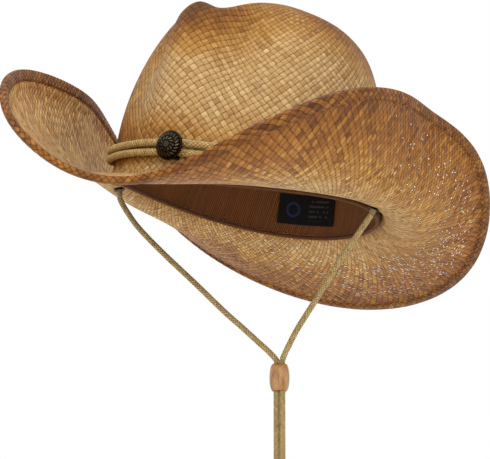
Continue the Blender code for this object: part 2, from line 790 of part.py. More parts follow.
def main():
    """Build every piece."""
    straw = material("raffia_straw", (0.50, 0.33, 0.16), 0.62)
    dark_straw = material("toasted_raffia", (0.20, 0.10, 0.04), 0.65)
    steel = material("spring_steel", (0.55, 0.55, 0.55), 0.35, 1.0)
    brass = material("antique_brass", (0.11, 0.09, 0.06), 0.38, 1.0)
    rib = material("ribbed_fabric", (0.20, 0.09, 0.03), 0.85)
    piping = material("piping_fabric", (0.24, 0.12, 0.05), 0.8)
    cloth = material("label_cloth", (0.02, 0.02, 0.02), 0.85)
    khaki = material("khaki_braid", (0.35, 0.25, 0.12), 0.85)
    olive = material("olive_braid", (0.24, 0.18, 0.09), 0.85)
    wood = material("turned_wood", (0.46, 0.24, 0.10), 0.4)
    raffia_body(straw)
    brim_edge_hem(dark_straw)
    brim_wire(steel)
    wire_ferrule(steel)
    sweatband(rib)
    sweatband_piping(piping)
    woven_label(cloth)
    hatband_cord("hatband_cord_lower", HAT_CORD_LOWER, khaki)
    hatband_cord("hatband_cord_upper", HAT_CORD_UPPER, khaki)
    concho_dome(brass)
    concho_keeper(brass)
    for side in (-1, 1):
        eyelet(side, brass)
        eyelet_washer(side, brass)
        stopper_knot(side, olive)
        chin_cord(side, olive)
        cord_end(side, olive)
    slide_bead(wood)
    tail_knot(olive)


main()
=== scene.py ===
"""Finished western hat of woven raffia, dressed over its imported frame."""
import logging
import math
from dataclasses import dataclass
from enum import Enum

import bpy
import numpy as np
from mathutils import Matrix, Vector


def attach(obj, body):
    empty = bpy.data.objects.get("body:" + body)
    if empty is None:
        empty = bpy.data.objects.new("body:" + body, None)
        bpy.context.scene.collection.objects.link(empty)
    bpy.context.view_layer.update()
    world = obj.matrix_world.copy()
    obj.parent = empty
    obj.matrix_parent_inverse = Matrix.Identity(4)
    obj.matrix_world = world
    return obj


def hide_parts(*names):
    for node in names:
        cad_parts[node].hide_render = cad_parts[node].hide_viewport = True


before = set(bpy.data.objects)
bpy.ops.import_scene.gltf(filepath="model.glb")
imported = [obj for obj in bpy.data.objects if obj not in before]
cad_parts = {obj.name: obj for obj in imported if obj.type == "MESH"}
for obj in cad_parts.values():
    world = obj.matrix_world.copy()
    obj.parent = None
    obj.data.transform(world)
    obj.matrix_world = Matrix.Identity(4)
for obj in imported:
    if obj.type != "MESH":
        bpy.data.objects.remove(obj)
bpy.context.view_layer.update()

LOG = logging.getLogger("hat")
MM = 0.001
FULL_TURN = 360.0
TO_CORNER = 0.707       # from the middle of a square of side one to its corner


class Body(Enum):
    """The moving bodies of the hat."""

    HAT = "hat"
    CHIN_CORD = "chin_cord"
    BEAD = "bead"


class Side(Enum):
    """The wearer's two sides, as signs of X."""

    RIGHT = -1
    LEFT = 1

    @property
    def word(self) -> str:
        """The side's name as the pieces use it."""
        return "left" if self is Side.LEFT else "right"


# ---- shared helpers ---------------------------------------------------------

def rgb(code: str) -> tuple[float, float, float, float]:
    """Turn an sRGB hex colour to linear light.

    Args:
        code: six hex digits, with or without a hash.

    Returns:
        Linear red, green, blue and a full alpha.
    """
    digits = code.lstrip("#")
    parts = [int(digits[i:i + 2], 16) / 255 for i in (0, 2, 4)]
    linear = [c / 12.92 if c <= 0.04045 else ((c + 0.055) / 1.055) ** 2.4
              for c in parts]
    return (*linear, 1.0)


def add(tree: bpy.types.NodeTree, kind: str, links: dict | None = None,
        stops: tuple = (), **settings: object) -> bpy.types.Node:
    """Add a shader node with its settings and links.

    Args:
        tree: the tree that gets the node.
        kind: the node's type after "ShaderNode".
        links: a value, a socket or a node (its first output) for each input.
        stops: (position, hex colour) pairs for a colour ramp.
        settings: the node's own properties.

    Returns:
        The new node.
    """
    node = tree.nodes.new("ShaderNode" + kind)
    for name, value in settings.items():
        setattr(node, name, value)
    for key, value in (links or {}).items():
        if isinstance(value, bpy.types.Node):
            value = value.outputs[0]
        if isinstance(value, bpy.types.NodeSocket):
            tree.links.new(value, node.inputs[key])
        else:
            node.inputs[key].default_value = value
    for i, (place, code) in enumerate(stops):
        ramp = node.color_ramp.elements
        stop = ramp[i] if i < 2 else ramp.new(place)
        stop.position = place
        stop.color = rgb(code)
    return node


def new_material(name: str) -> tuple[bpy.types.Material, bpy.types.NodeTree]:
    """Start a material with an output node and nothing else.

    Args:
        name: the finish's name.

    Returns:
        The material and its node tree.
    """
    made = bpy.data.materials.new(name)
    made.use_nodes = True
    made.node_tree.nodes.clear()
    return made, made.node_tree


def finish_off(tree: bpy.types.NodeTree, shader: bpy.types.Node) -> None:
    """Join a shader to the material's output."""
    add(tree, "OutputMaterial", {"Surface": shader.outputs[0]})


def mesh_piece(name: str, points: np.ndarray, faces: list, finish: bpy.types.Material,
               uv: np.ndarray | None = None, sharp: float = 50.0) -> bpy.types.Object:
    """Make a smooth mesh object from points in millimetres.

    Args:
        name: the object's name.
        points: one row for each vertex, in millimetres.
        faces: vertex numbers of each face.
        finish: the material.
        uv: one (x, y) row for each face corner, in strand or thread counts.
        sharp: angle in degrees above which an edge stays sharp.

    Returns:
        The new object, linked to the scene.
    """
    mesh = bpy.data.meshes.new(name)
    mesh.from_pydata((np.asarray(points, float) * MM).tolist(), [], faces)
    if uv is not None:
        layer = mesh.uv_layers.new(name="weave")
        layer.data.foreach_set("uv", np.asarray(uv, np.float32).ravel())
    mesh.materials.append(finish)
    mesh.shade_smooth()
    mesh.set_sharp_from_angle(angle=math.radians(sharp))
    mesh.update()
    made = bpy.data.objects.new(name, mesh)
    bpy.context.scene.collection.objects.link(made)
    return made


def mark(piece: bpy.types.Object, name: str, values: np.ndarray) -> None:
    """Give each vertex a number that a finish reads by name."""
    layer = piece.data.attributes.new(name, "FLOAT", "POINT")
    layer.data.foreach_set("value", np.asarray(values, np.float32))


def put(piece: bpy.types.Object, body: Body, slot: str,
        *nodes: str) -> bpy.types.Object:
    """Hang a piece on its body, and let it stand for its frame nodes.

    Args:
        piece: the finished piece.
        body: the body that it moves with.
        slot: not used.
        nodes: the frame nodes that it replaces.

    Returns:
        The piece.
    """
    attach(piece, body.value)
    if nodes:
        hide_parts(*nodes)
    return piece


def loft(rings: int, size: int, ring_closed: bool, section_closed: bool) -> np.ndarray:
    """Quads between rings of equal size, numbered ring by ring.

    Args:
        rings: how many rings.
        size: vertices in each ring.
        ring_closed: whether the last ring joins the first.
        section_closed: whether each ring's last vertex joins its first.

    Returns:
        Vertex numbers, four to a row.
    """
    i = np.arange(rings if ring_closed else rings - 1)[:, None]
    j = np.arange(size if section_closed else size - 1)[None, :]
    on = (i + 1) % rings
    side = (j + 1) % size
    quads = [i * size + j, i * size + side, on * size + side, on * size + j]
    shape = (len(i), j.shape[1])
    return np.stack([np.broadcast_to(q, shape) for q in quads], -1).reshape(-1, 4)


def loft_counts(quads: np.ndarray, size: int, by_ring: np.ndarray,
                by_place: np.ndarray) -> np.ndarray:
    """Thread counts of each corner of lofted quads.

    Args:
        quads: vertex numbers from loft.
        size: vertices in each ring.
        by_ring: count at each ring, with one more at the end.
        by_place: count at each place in a ring, with one more at the end.

    Returns:
        (quad, corner, 2) counts: by ring, then by place.
    """
    i, j = quads[:, 0] // size, quads[:, 0] % size
    ring = np.stack([by_ring[i], by_ring[i], by_ring[i + 1], by_ring[i + 1]], axis=1)
    place = np.stack([by_place[j], by_place[j + 1], by_place[j + 1], by_place[j]],
                     axis=1)
    return np.stack([ring, place], axis=-1)


def outward(points: np.ndarray, faces: list, middle: np.ndarray) -> list:
    """Turn all faces over if most of them look at a point inside the piece.

    Args:
        points: vertices.
        faces: vertex numbers of each face.
        middle: a point inside, or one for each face.

    Returns:
        The faces, facing outwards.
    """
    quads = np.array([f[:3] for f in faces])
    a, b, c = (points[quads[:, k]] for k in range(3))
    away = np.einsum("ij,ij->i", np.cross(b - a, c - a), a - middle)
    return [f[::-1] for f in faces] if np.sum(away) < 0 else faces


def face_out(points: np.ndarray, quads: np.ndarray, uv: np.ndarray,
             middle: np.ndarray) -> tuple[list, np.ndarray, bool]:
    """Turn quads and their counts together, so that they face outwards.

    Args:
        points: vertices.
        quads: vertex numbers, four to a row.
        uv: (quad, corner, 2) counts.
        middle: a point inside, or one for each quad.

    Returns:
        The faces, one row of counts for each corner, and whether they were turned.
    """
    faces = quads.tolist()
    turned = outward(points, faces, middle)
    flipped = turned is not faces
    return turned, (uv[:, ::-1] if flipped else uv).reshape(-1, 2), flipped


def stations(count: int) -> np.ndarray:
    """Even stations round the hat, in degrees from the front."""
    return np.arange(count) * FULL_TURN / count - 180.0


def spins(count: int) -> np.ndarray:
    """Even angles round a ring, in radians."""
    return np.arange(count) * math.tau / count


def placed(points: np.ndarray, place: Matrix) -> np.ndarray:
    """Points moved by a matrix."""
    matrix = np.array(place)
    return points @ matrix[:3, :3].T + matrix[:3, 3]


def unit(rows: np.ndarray) -> np.ndarray:
    """Rows scaled to length one."""
    return rows / np.maximum(np.linalg.norm(rows, axis=-1, keepdims=True), 1e-12)


def smoothstep(low: float, high: float, x: np.ndarray) -> np.ndarray:
    """Rise smoothly from 0 at low to 1 at high."""
    t = np.clip((np.asarray(x, float) - low) / (high - low), 0, 1)
    return t * t * (3 - 2 * t)


def hump(x: np.ndarray, centre: float, width: float) -> np.ndarray:
    """A round hump of height 1 at centre, width to its waist."""
    return np.exp(-((np.asarray(x, float) - centre) / width) ** 2)


def wrapped(angles: np.ndarray) -> np.ndarray:
    """Angles in degrees, brought to -180 to 180."""
    return (np.asarray(angles, float) + 180.0) % FULL_TURN - 180.0


def weave_height(x: np.ndarray, y: np.ndarray) -> np.ndarray:
    """Height of a plain weave at 45 degrees, from 0 in the gaps to 1.

    Args:
        x: strand counts one way round.
        y: strand counts along.

    Returns:
        The height at each place.
    """
    a, b = x + y, x - y
    fa, fb = a - np.floor(a), b - np.floor(b)
    over = (np.floor(a) + np.floor(b)) % 2
    cross = fa + over * (fb - fa)
    along = fb + over * (fa - fb)
    return (1 - np.abs(2 * cross - 1) ** 2.5) * (0.5 + 0.5 * np.sin(np.pi * along))


# ---- finishes ---------------------------------------------------------------

@dataclass(frozen=True)
class Woven:
    """Flat strands in a plain weave laid at 45 degrees to the edges.

    Raffia is a dry, split palm leaf: each strand keeps its own shade, shows
    fine lines along its length, and catches the light at its arch.
    """

    name: str
    shades: tuple[str, str, str]        # dark, usual and light strands
    # tints for the mesh's scorch, which holds painted shade too
    toast: tuple[tuple[float, str], ...] | None
    turn: int                           # strands that one turn moves the count by
    relief: float                       # height of the weave in metres
    gap_shade: str = "#94744c"             # painted shade: what the gaps between strands do to the colour
    spread: float = 0.14                # how much the strands differ in shade
    patches: float = 0.55               # how much one strand changes along itself
    roughness: float = 0.62
    lines: float = 0.6                  # how much the fine lines change the shade
    line_count: float = 5.0             # fine lines across one strand
    line_run: float = 0.22              # how fast they change along it
    blotch: float = 0.34                # how much the scorch varies
    blotch_scale: float = 95.0          # scorch patches about 10 mm across
    own_burn: float = 0.25              # how much more the dark strands brown
    other_way: float = 911.5            # seed that sets the second way apart

    def make(self) -> bpy.types.Material:
        """Build the material.

        Returns:
            The woven material.
        """
        made, t = new_material(self.name)
        uv = add(t, "UVMap", uv_map="weave")
        xy = add(t, "SeparateXYZ", {0: uv})
        a = add(t, "Math", {0: xy.outputs[0], 1: xy.outputs[1]}, operation="ADD")
        b = add(t, "Math", {0: xy.outputs[0], 1: xy.outputs[1]}, operation="SUBTRACT")
        low_a = add(t, "Math", {0: a}, operation="FLOOR")
        low_b = add(t, "Math", {0: b}, operation="FLOOR")
        part_a = add(t, "Math", {0: a, 1: low_a}, operation="SUBTRACT")
        part_b = add(t, "Math", {0: b, 1: low_b}, operation="SUBTRACT")
        both = add(t, "Math", {0: low_a, 1: low_b}, operation="ADD")
        over = add(t, "Math", {0: both, 1: 2.0}, operation="FLOORED_MODULO")
        cross = add(t, "Mix", {0: over, 2: part_a, 3: part_b})
        along = add(t, "Mix", {0: over, 2: part_b, 3: part_a})
        run = add(t, "Mix", {0: over, 2: b, 3: a})
        turn = float(self.turn)
        own_a = add(t, "Math", {0: low_a, 1: turn}, operation="FLOORED_MODULO")
        own_b = add(t, "Math", {0: low_b, 1: turn}, operation="FLOORED_MODULO")
        own_b = add(t, "Math", {0: own_b, 1: self.other_way}, operation="ADD")
        own = add(t, "Mix", {0: over, 2: own_a, 3: own_b})
        chance = add(t, "TexWhiteNoise", {"W": own}, noise_dimensions="1D")
        # Height: a flat strand with rolled edges that arches over its neighbour.
        off = add(t, "Math", {0: cross, 1: 2.0, 2: -1.0}, operation="MULTIPLY_ADD")
        off = add(t, "Math", {0: off}, operation="ABSOLUTE")
        off = add(t, "Math", {0: off, 1: 3.0}, operation="POWER")
        flat = add(t, "Math", {0: 1.0, 1: off}, operation="SUBTRACT")
        bend = add(t, "Math", {0: along, 1: math.pi}, operation="MULTIPLY")
        bend = add(t, "Math", {0: bend}, operation="SINE")
        arch = add(t, "Math", {0: bend, 1: 0.5, 2: 0.5}, operation="MULTIPLY_ADD")
        high = add(t, "Math", {0: flat, 1: arch}, operation="MULTIPLY")
        # Fine lines along the leaf, and slow patches of shade.
        far = add(t, "Math", {0: own, 1: 3.7}, operation="MULTIPLY")
        fine = add(t, "Math", {0: cross, 1: self.line_count, 2: far},
                   operation="MULTIPLY_ADD")
        slow = add(t, "Math", {0: run, 1: self.line_run}, operation="MULTIPLY")
        where = add(t, "CombineXYZ", {0: fine, 1: slow})
        lines = add(t, "TexNoise", {"Vector": where, "Scale": 1.0, "Detail": 2.0},
                    noise_dimensions="2D")
        patch = add(t, "CombineXYZ", {0: far, 1: slow})
        shade = add(t, "TexNoise", {"Vector": patch, "Scale": 0.7, "Detail": 1.0},
                    noise_dimensions="2D")
        tone = add(t, "Math", {0: chance, 1: self.spread, 2: -self.spread / 2},
                   operation="MULTIPLY_ADD")
        tone = add(t, "Math", {0: shade, 1: self.patches, 2: tone},
                   operation="MULTIPLY_ADD")
        tone = add(t, "Math", {0: lines, 1: self.lines, 2: tone},
                   operation="MULTIPLY_ADD")
        tone = add(t, "Math", {0: tone, 1: 0.2 - 0.5 * self.patches}, operation="ADD")
        dark, usual, light = self.shades
        colour = add(t, "ValToRGB", {0: tone},
                     stops=((0.2, dark), (0.85, light), (0.5, usual)))
        if self.toast:
            # Scorch, with painted shade in places, read from the mesh and varied by
            # blotches and by each strand's tone.
            scorch_shade_attr = add(t, "Attribute", attribute_name="toast")
            spots = add(t, "TexNoise", {"Vector": add(t, "TexCoord").outputs["Object"],
                                        "Scale": self.blotch_scale, "Detail": 3.0})
            level = add(t, "Math", {0: spots, 1: self.blotch, 2: -self.blotch / 2},
                        operation="MULTIPLY_ADD")
            level = add(t, "Math", {0: level, 1: scorch_shade_attr.outputs["Fac"]},
                        operation="ADD")
            own_burn = add(t, "Math", {0: tone, 1: -self.own_burn, 2: 0.12},
                           operation="MULTIPLY_ADD")
            level = add(t, "Math", {0: level, 1: own_burn}, operation="ADD",
                        use_clamp=True)
            tint = add(t, "ValToRGB", {0: level}, stops=self.toast)
            colour = add(t, "Mix", {0: 1.0, 6: colour, 7: tint},
                         data_type="RGBA", blend_type="MULTIPLY")
            colour = colour.outputs[2]
        # Painted shade: the gaps between strands, low in the weave's height, are darker
        # than the straw round them.
        gap_shade_tint = add(t, "ValToRGB", {0: high},
                   stops=((0.04, self.gap_shade), (0.42, "#ffffff")))
        colour = add(t, "Mix", {0: 1.0, 6: colour, 7: gap_shade_tint}, data_type="RGBA",
                     blend_type="MULTIPLY")
        rough = add(t, "Math", {0: lines, 1: 0.25, 2: self.roughness - 0.12},
                    operation="MULTIPLY_ADD")
        tall = add(t, "Math", {0: lines, 1: 0.18, 2: high}, operation="MULTIPLY_ADD")
        bump = add(t, "Bump", {"Height": tall, "Distance": self.relief,
                               "Strength": 1.0})
        shader = add(t, "BsdfPrincipled", {
            "Base Color": colour.outputs[2], "Roughness": rough, "Normal": bump,
            "IOR": 1.5, "Specular IOR Level": 0.22})
        finish_off(t, shader)
        return made


@dataclass(frozen=True)
class Ribbed:
    """Grosgrain ribbon: a glossy warp over thick weft ribs, with gold threads.

    The real ribs are 0.9 mm apart; they are drawn at 1.4 mm so that they show.
    """

    name: str
    # ground: the colour painted as shade in the hollows between ribs
    ground: str
    thread: str
    gold: str
    slant: float = 0.16                 # ribs that one millimetre of height crosses
    relief: float = 0.0005              # height of the ribs in metres

    def make(self) -> bpy.types.Material:
        """Build the material.

        Returns:
            The ribbed material.
        """
        made, t = new_material(self.name)
        xy = add(t, "SeparateXYZ", {0: add(t, "UVMap", uv_map="weave")})
        lean = add(t, "Math", {0: xy.outputs[1], 1: self.slant, 2: xy.outputs[0]},
                   operation="MULTIPLY_ADD")
        part = add(t, "Math", {0: lean}, operation="FRACT")
        wave = add(t, "Math", {0: part, 1: math.pi}, operation="MULTIPLY")
        wave = add(t, "Math", {0: wave}, operation="SINE")
        own = add(t, "Math", {0: lean}, operation="FLOOR")
        chance = add(t, "TexWhiteNoise", {"W": own}, noise_dimensions="1D")
        cut = add(t, "Math", {0: xy.outputs[1], 1: 1.6}, operation="MULTIPLY")
        where = add(t, "CombineXYZ", {0: own, 1: cut})
        lines = add(t, "TexNoise", {"Vector": where, "Scale": 1.3, "Detail": 1.0},
                    noise_dimensions="2D")
        # Painted shade: the colour follows the rib's height, from the ground colour in
        # the hollows between ribs to the threads and gold on the crests.
        mixed = add(t, "Math", {0: lines, 1: 0.4, 2: 0.22}, operation="MULTIPLY_ADD")
        mixed = add(t, "Math", {0: chance, 1: 0.2, 2: mixed}, operation="MULTIPLY_ADD")
        mixed = add(t, "Math", {0: wave, 1: mixed}, operation="MULTIPLY",
                    use_clamp=True)
        colour = add(t, "ValToRGB", {0: mixed},
                     stops=((0.1, self.ground), (0.85, self.gold), (0.5, self.thread)))
        bump = add(t, "Bump", {"Height": wave, "Distance": self.relief,
                               "Strength": 0.9})
        shader = add(t, "BsdfPrincipled", {
            "Base Color": colour.outputs[0], "Roughness": 0.58, "Normal": bump,
            "Specular IOR Level": 0.3})
        finish_off(t, shader)
        return made


@dataclass(frozen=True)
class Damask:
    """Woven label: satin ground with short stitched marks that say nothing.

    Satin is smooth and dark here, with threads 0.4 mm apart. The sizes of the
    marks are in millimetres from the middle of the label's lower edge.
    """

    name: str
    ground: str
    mark: str
    accent: str
    shade: str = "#100f11"              # the ground's other thread
    row_step: float = 3.4               # from one dashed line to the next
    dash_step: float = 1.7              # from one dash to the next
    across: tuple[float, float] = (1.0, 17.0)
    along: tuple[float, float] = (3.2, 16.9)
    ring_centre: tuple[float, float] = (-11.0, 10.0)
    ring_radius: float = 4.4
    ring_line: float = 0.75             # half the width of the ring's line

    def make(self) -> bpy.types.Material:
        """Build the material.

        Returns:
            The label cloth, with a plain ring and four dashed lines on its face.
        """
        made, t = new_material(self.name)
        xy = add(t, "SeparateXYZ", {0: add(t, "UVMap", uv_map="weave")})
        x, y = xy.outputs[0], xy.outputs[1]
        # Dashed lines on one half.
        row = add(t, "Math", {0: y, 1: self.row_step}, operation="DIVIDE")
        row_part = add(t, "Math", {0: row}, operation="FRACT")
        on_row = add(t, "Math", {0: row_part, 1: 0.62}, operation="GREATER_THAN")
        step = add(t, "Math", {0: x, 1: self.dash_step}, operation="DIVIDE")
        low_row = add(t, "Math", {0: row}, operation="FLOOR")
        step = add(t, "Math", {0: low_row, 1: 0.37, 2: step}, operation="MULTIPLY_ADD")
        low_step = add(t, "Math", {0: step}, operation="FLOOR")
        spot = add(t, "CombineXYZ", {0: low_step, 1: low_row})
        chance = add(t, "TexWhiteNoise", {"Vector": spot}, noise_dimensions="2D")
        on_dash = add(t, "Math", {0: chance, 1: 0.4}, operation="GREATER_THAN")
        dash = add(t, "Math", {0: on_row, 1: on_dash}, operation="MULTIPLY")
        for place, (low, high) in ((x, self.across), (y, self.along)):
            for limit, test in ((low, "GREATER_THAN"), (high, "LESS_THAN")):
                inside = add(t, "Math", {0: place, 1: limit}, operation=test)
                dash = add(t, "Math", {0: dash, 1: inside}, operation="MULTIPLY")
        # A plain ring on the other half.
        dx = add(t, "Math", {0: x, 1: -self.ring_centre[0]}, operation="ADD")
        dy = add(t, "Math", {0: y, 1: -self.ring_centre[1]}, operation="ADD")
        reach = add(t, "VectorMath", {0: add(t, "CombineXYZ", {0: dx, 1: dy})},
                    operation="LENGTH").outputs["Value"]
        from_line = add(t, "Math", {0: reach, 1: -self.ring_radius}, operation="ADD")
        from_line = add(t, "Math", {0: from_line}, operation="ABSOLUTE")
        ring = add(t, "Math", {0: from_line, 1: self.ring_line}, operation="LESS_THAN")
        threads = add(t, "TexWave", {"Vector": add(t, "UVMap", uv_map="weave"),
                                     "Scale": 1.1}, bands_direction="DIAGONAL")
        base = add(t, "Mix", {0: threads.outputs["Fac"], 6: rgb(self.ground),
                              7: rgb(self.shade)}, data_type="RGBA")
        with_dash = add(t, "Mix", {0: dash, 6: base.outputs[2], 7: rgb(self.mark)},
                        data_type="RGBA")
        with_ring = add(t, "Mix", {0: ring, 6: with_dash.outputs[2],
                                   7: rgb(self.accent)}, data_type="RGBA")
        marks = add(t, "Math", {0: dash, 1: ring}, operation="ADD")
        tall = add(t, "Math", {0: threads.outputs["Fac"], 1: 0.4, 2: marks},
                   operation="MULTIPLY_ADD")
        bump = add(t, "Bump", {"Height": tall, "Distance": 0.0002, "Strength": 0.6})
        shader = add(t, "BsdfPrincipled", {
            "Base Color": with_ring.outputs[2], "Roughness": 0.6, "Normal": bump,
            "Specular IOR Level": 0.12})
        finish_off(t, shader)
        return made


@dataclass(frozen=True)
class Metal:
    """Cast or drawn metal: rubbed bright on its high places, dark in the low ones."""

    name: str
    bright: str
    dark: str
    roughness: float
    edge: float                         # how far wear reaches in from the edges
    stain: float = 420.0                # tarnish patches about 2.4 mm across
    pits: float = 1500.0                # casting grain about 0.7 mm across

    def make(self) -> bpy.types.Material:
        """Build the material.

        Returns:
            The worn metal.
        """
        made, t = new_material(self.name)
        place = add(t, "TexCoord").outputs["Object"]
        stain = add(t, "TexNoise", {"Vector": place, "Scale": self.stain,
                                    "Detail": 4.0})
        worn = add(t, "Attribute", attribute_name="height")
        level = add(t, "Math", {0: stain, 1: 0.55, 2: -0.28}, operation="MULTIPLY_ADD")
        level = add(t, "Math", {0: worn.outputs["Fac"], 1: level}, operation="ADD",
                    use_clamp=True)
        colour = add(t, "ValToRGB", {0: level},
                     stops=((0.35 - self.edge, self.dark), (0.95, self.bright)))
        rough = add(t, "MapRange", {0: level, 3: self.roughness + 0.2,
                                    4: self.roughness - 0.06})
        grain = add(t, "TexNoise", {"Vector": place, "Scale": self.pits,
                                    "Detail": 2.0})
        bump = add(t, "Bump", {"Height": grain, "Distance": 0.0001, "Strength": 0.35})
        shader = add(t, "BsdfPrincipled", {
            "Base Color": colour.outputs[0], "Metallic": 1.0, "Roughness": rough,
            "Normal": bump})
        finish_off(t, shader)
        return made


@dataclass(frozen=True)
class Wood:
    """Turned beech under a thin lacquer: pale wood, brown rays, soft gloss."""

    name: str
    light: str
    dark: str
    stretch: float = 0.18               # the grain is long along the bead
    grain: float = 520.0                # streaks about 2 mm wide
    rings: float = 130.0
    pores: float = 2300.0               # pores about 0.4 mm wide

    def make(self) -> bpy.types.Material:
        """Build the material.

        Returns:
            The lacquered wood.
        """
        made, t = new_material(self.name)
        place = add(t, "TexCoord").outputs["Object"]
        long = add(t, "Mapping", {"Vector": place, "Scale": (1.0, 1.0, self.stretch)})
        grain = add(t, "TexNoise", {"Vector": long, "Scale": self.grain,
                                    "Detail": 5.0, "Distortion": 0.6})
        rings = add(t, "TexWave", {"Vector": long, "Scale": self.rings,
                                   "Distortion": 3.0, "Detail": 2.0},
                    wave_type="RINGS")
        pores = add(t, "TexNoise", {"Vector": long, "Scale": self.pores,
                                    "Detail": 1.0})
        level = add(t, "Math", {0: rings.outputs["Fac"], 1: 0.4, 2: grain},
                    operation="MULTIPLY_ADD")
        level = add(t, "Math", {0: level, 1: -0.2}, operation="ADD")
        level = add(t, "Math", {0: pores, 1: 0.35, 2: level}, operation="MULTIPLY_ADD")
        colour = add(t, "ValToRGB", {0: level},
                     stops=((0.3, self.dark), (0.85, self.light)))
        bump = add(t, "Bump", {"Height": grain, "Distance": 0.0001, "Strength": 0.4})
        shader = add(t, "BsdfPrincipled", {
            "Base Color": colour.outputs[0], "Roughness": 0.42, "Normal": bump,
            "Coat Weight": 0.35, "Coat Roughness": 0.22})
        finish_off(t, shader)
        return made


@dataclass(frozen=True)
class Finishes:
    """Every finish of the hat, made once."""

    straw: bpy.types.Material
    straw_crown: bpy.types.Material
    ribbon: bpy.types.Material
    piping: bpy.types.Material
    label: bpy.types.Material
    khaki: bpy.types.Material
    olive: bpy.types.Material
    brass: bpy.types.Material
    steel: bpy.types.Material
    wood: bpy.types.Material

    @classmethod
    def make(cls, weave: "Weave") -> "Finishes":
        """Build all materials.

        Args:
            weave: the strand counts of the shell.

        Returns:
            The finishes.
        """
        toast = ((0.0, "#fffaf0"), (1.0, "#74502a"), (0.30, "#ebd198"),
                 (0.62, "#c29853"))
        straw = ("#97703f", "#c59f68", "#e6cb96")
        crown = ("#876842", "#b19366", "#ccb68c")
        return cls(
            straw=Woven("brim_raffia", straw, toast, weave.brim_turn, 0.0012,
                        gap_shade="#6e4c2a", patches=0.9, roughness=0.54).make(),
            straw_crown=Woven("crown_raffia", crown, toast, weave.crown_turn,
                              0.0008).make(),
            ribbon=Ribbed("ribbed_band", "#4a270d", "#7c4718", "#96622a").make(),
            piping=Woven("piping_cloth", ("#38200f", "#5c371b", "#7a4d26"), None, 10,
                         0.0002, gap_shade="#cdb79e", roughness=0.8).make(),
            label=Damask("label_satin", "#050505", "#33312e", "#20284a").make(),
            khaki=Woven("khaki_braid", ("#8f7748", "#bda26c", "#dfc796"), None, 6,
                        0.0008, gap_shade="#66522f", roughness=0.8).make(),
            olive=Woven("olive_braid", ("#84703f", "#b49c6a", "#dac694"), None, 6,
                        0.0007, gap_shade="#54452a", roughness=0.8).make(),
            brass=Metal("antique_brass", "#453c2f", "#100e0b", 0.27, -0.12).make(),
            steel=Metal("spring_steel", "#b8b8b6", "#6c6b6a", 0.32, 0.2).make(),
            wood=Wood("lacquered_beech", "#ab7c46", "#7c4c24").make(),
        )


# ---- form of the hat --------------------------------------------------------

@dataclass(frozen=True)
class Weave:
    """Strand counts of the shell, from strand widths in millimetres."""

    crown_strand: float = 3.7
    crown_radius: float = 88.0
    brim_strand: float = 2.7
    brim_stretch: float = 0.62          # brim cells are longer outwards than round
    brim_radius: float = 140.0

    @property
    def crown_turn(self) -> int:
        """Strands round the crown, an even number so that the weave closes."""
        return self.strands(self.crown_strand, self.crown_radius)

    @property
    def brim_turn(self) -> int:
        """Strands round the brim, an even number so that the weave closes."""
        return self.strands(self.brim_strand, self.brim_radius)

    @staticmethod
    def strands(width: float, radius: float) -> int:
        """Even count of diagonal strands of a width round a circle."""
        return 2 * round(math.tau * radius / (math.sqrt(2) * width) / 2)


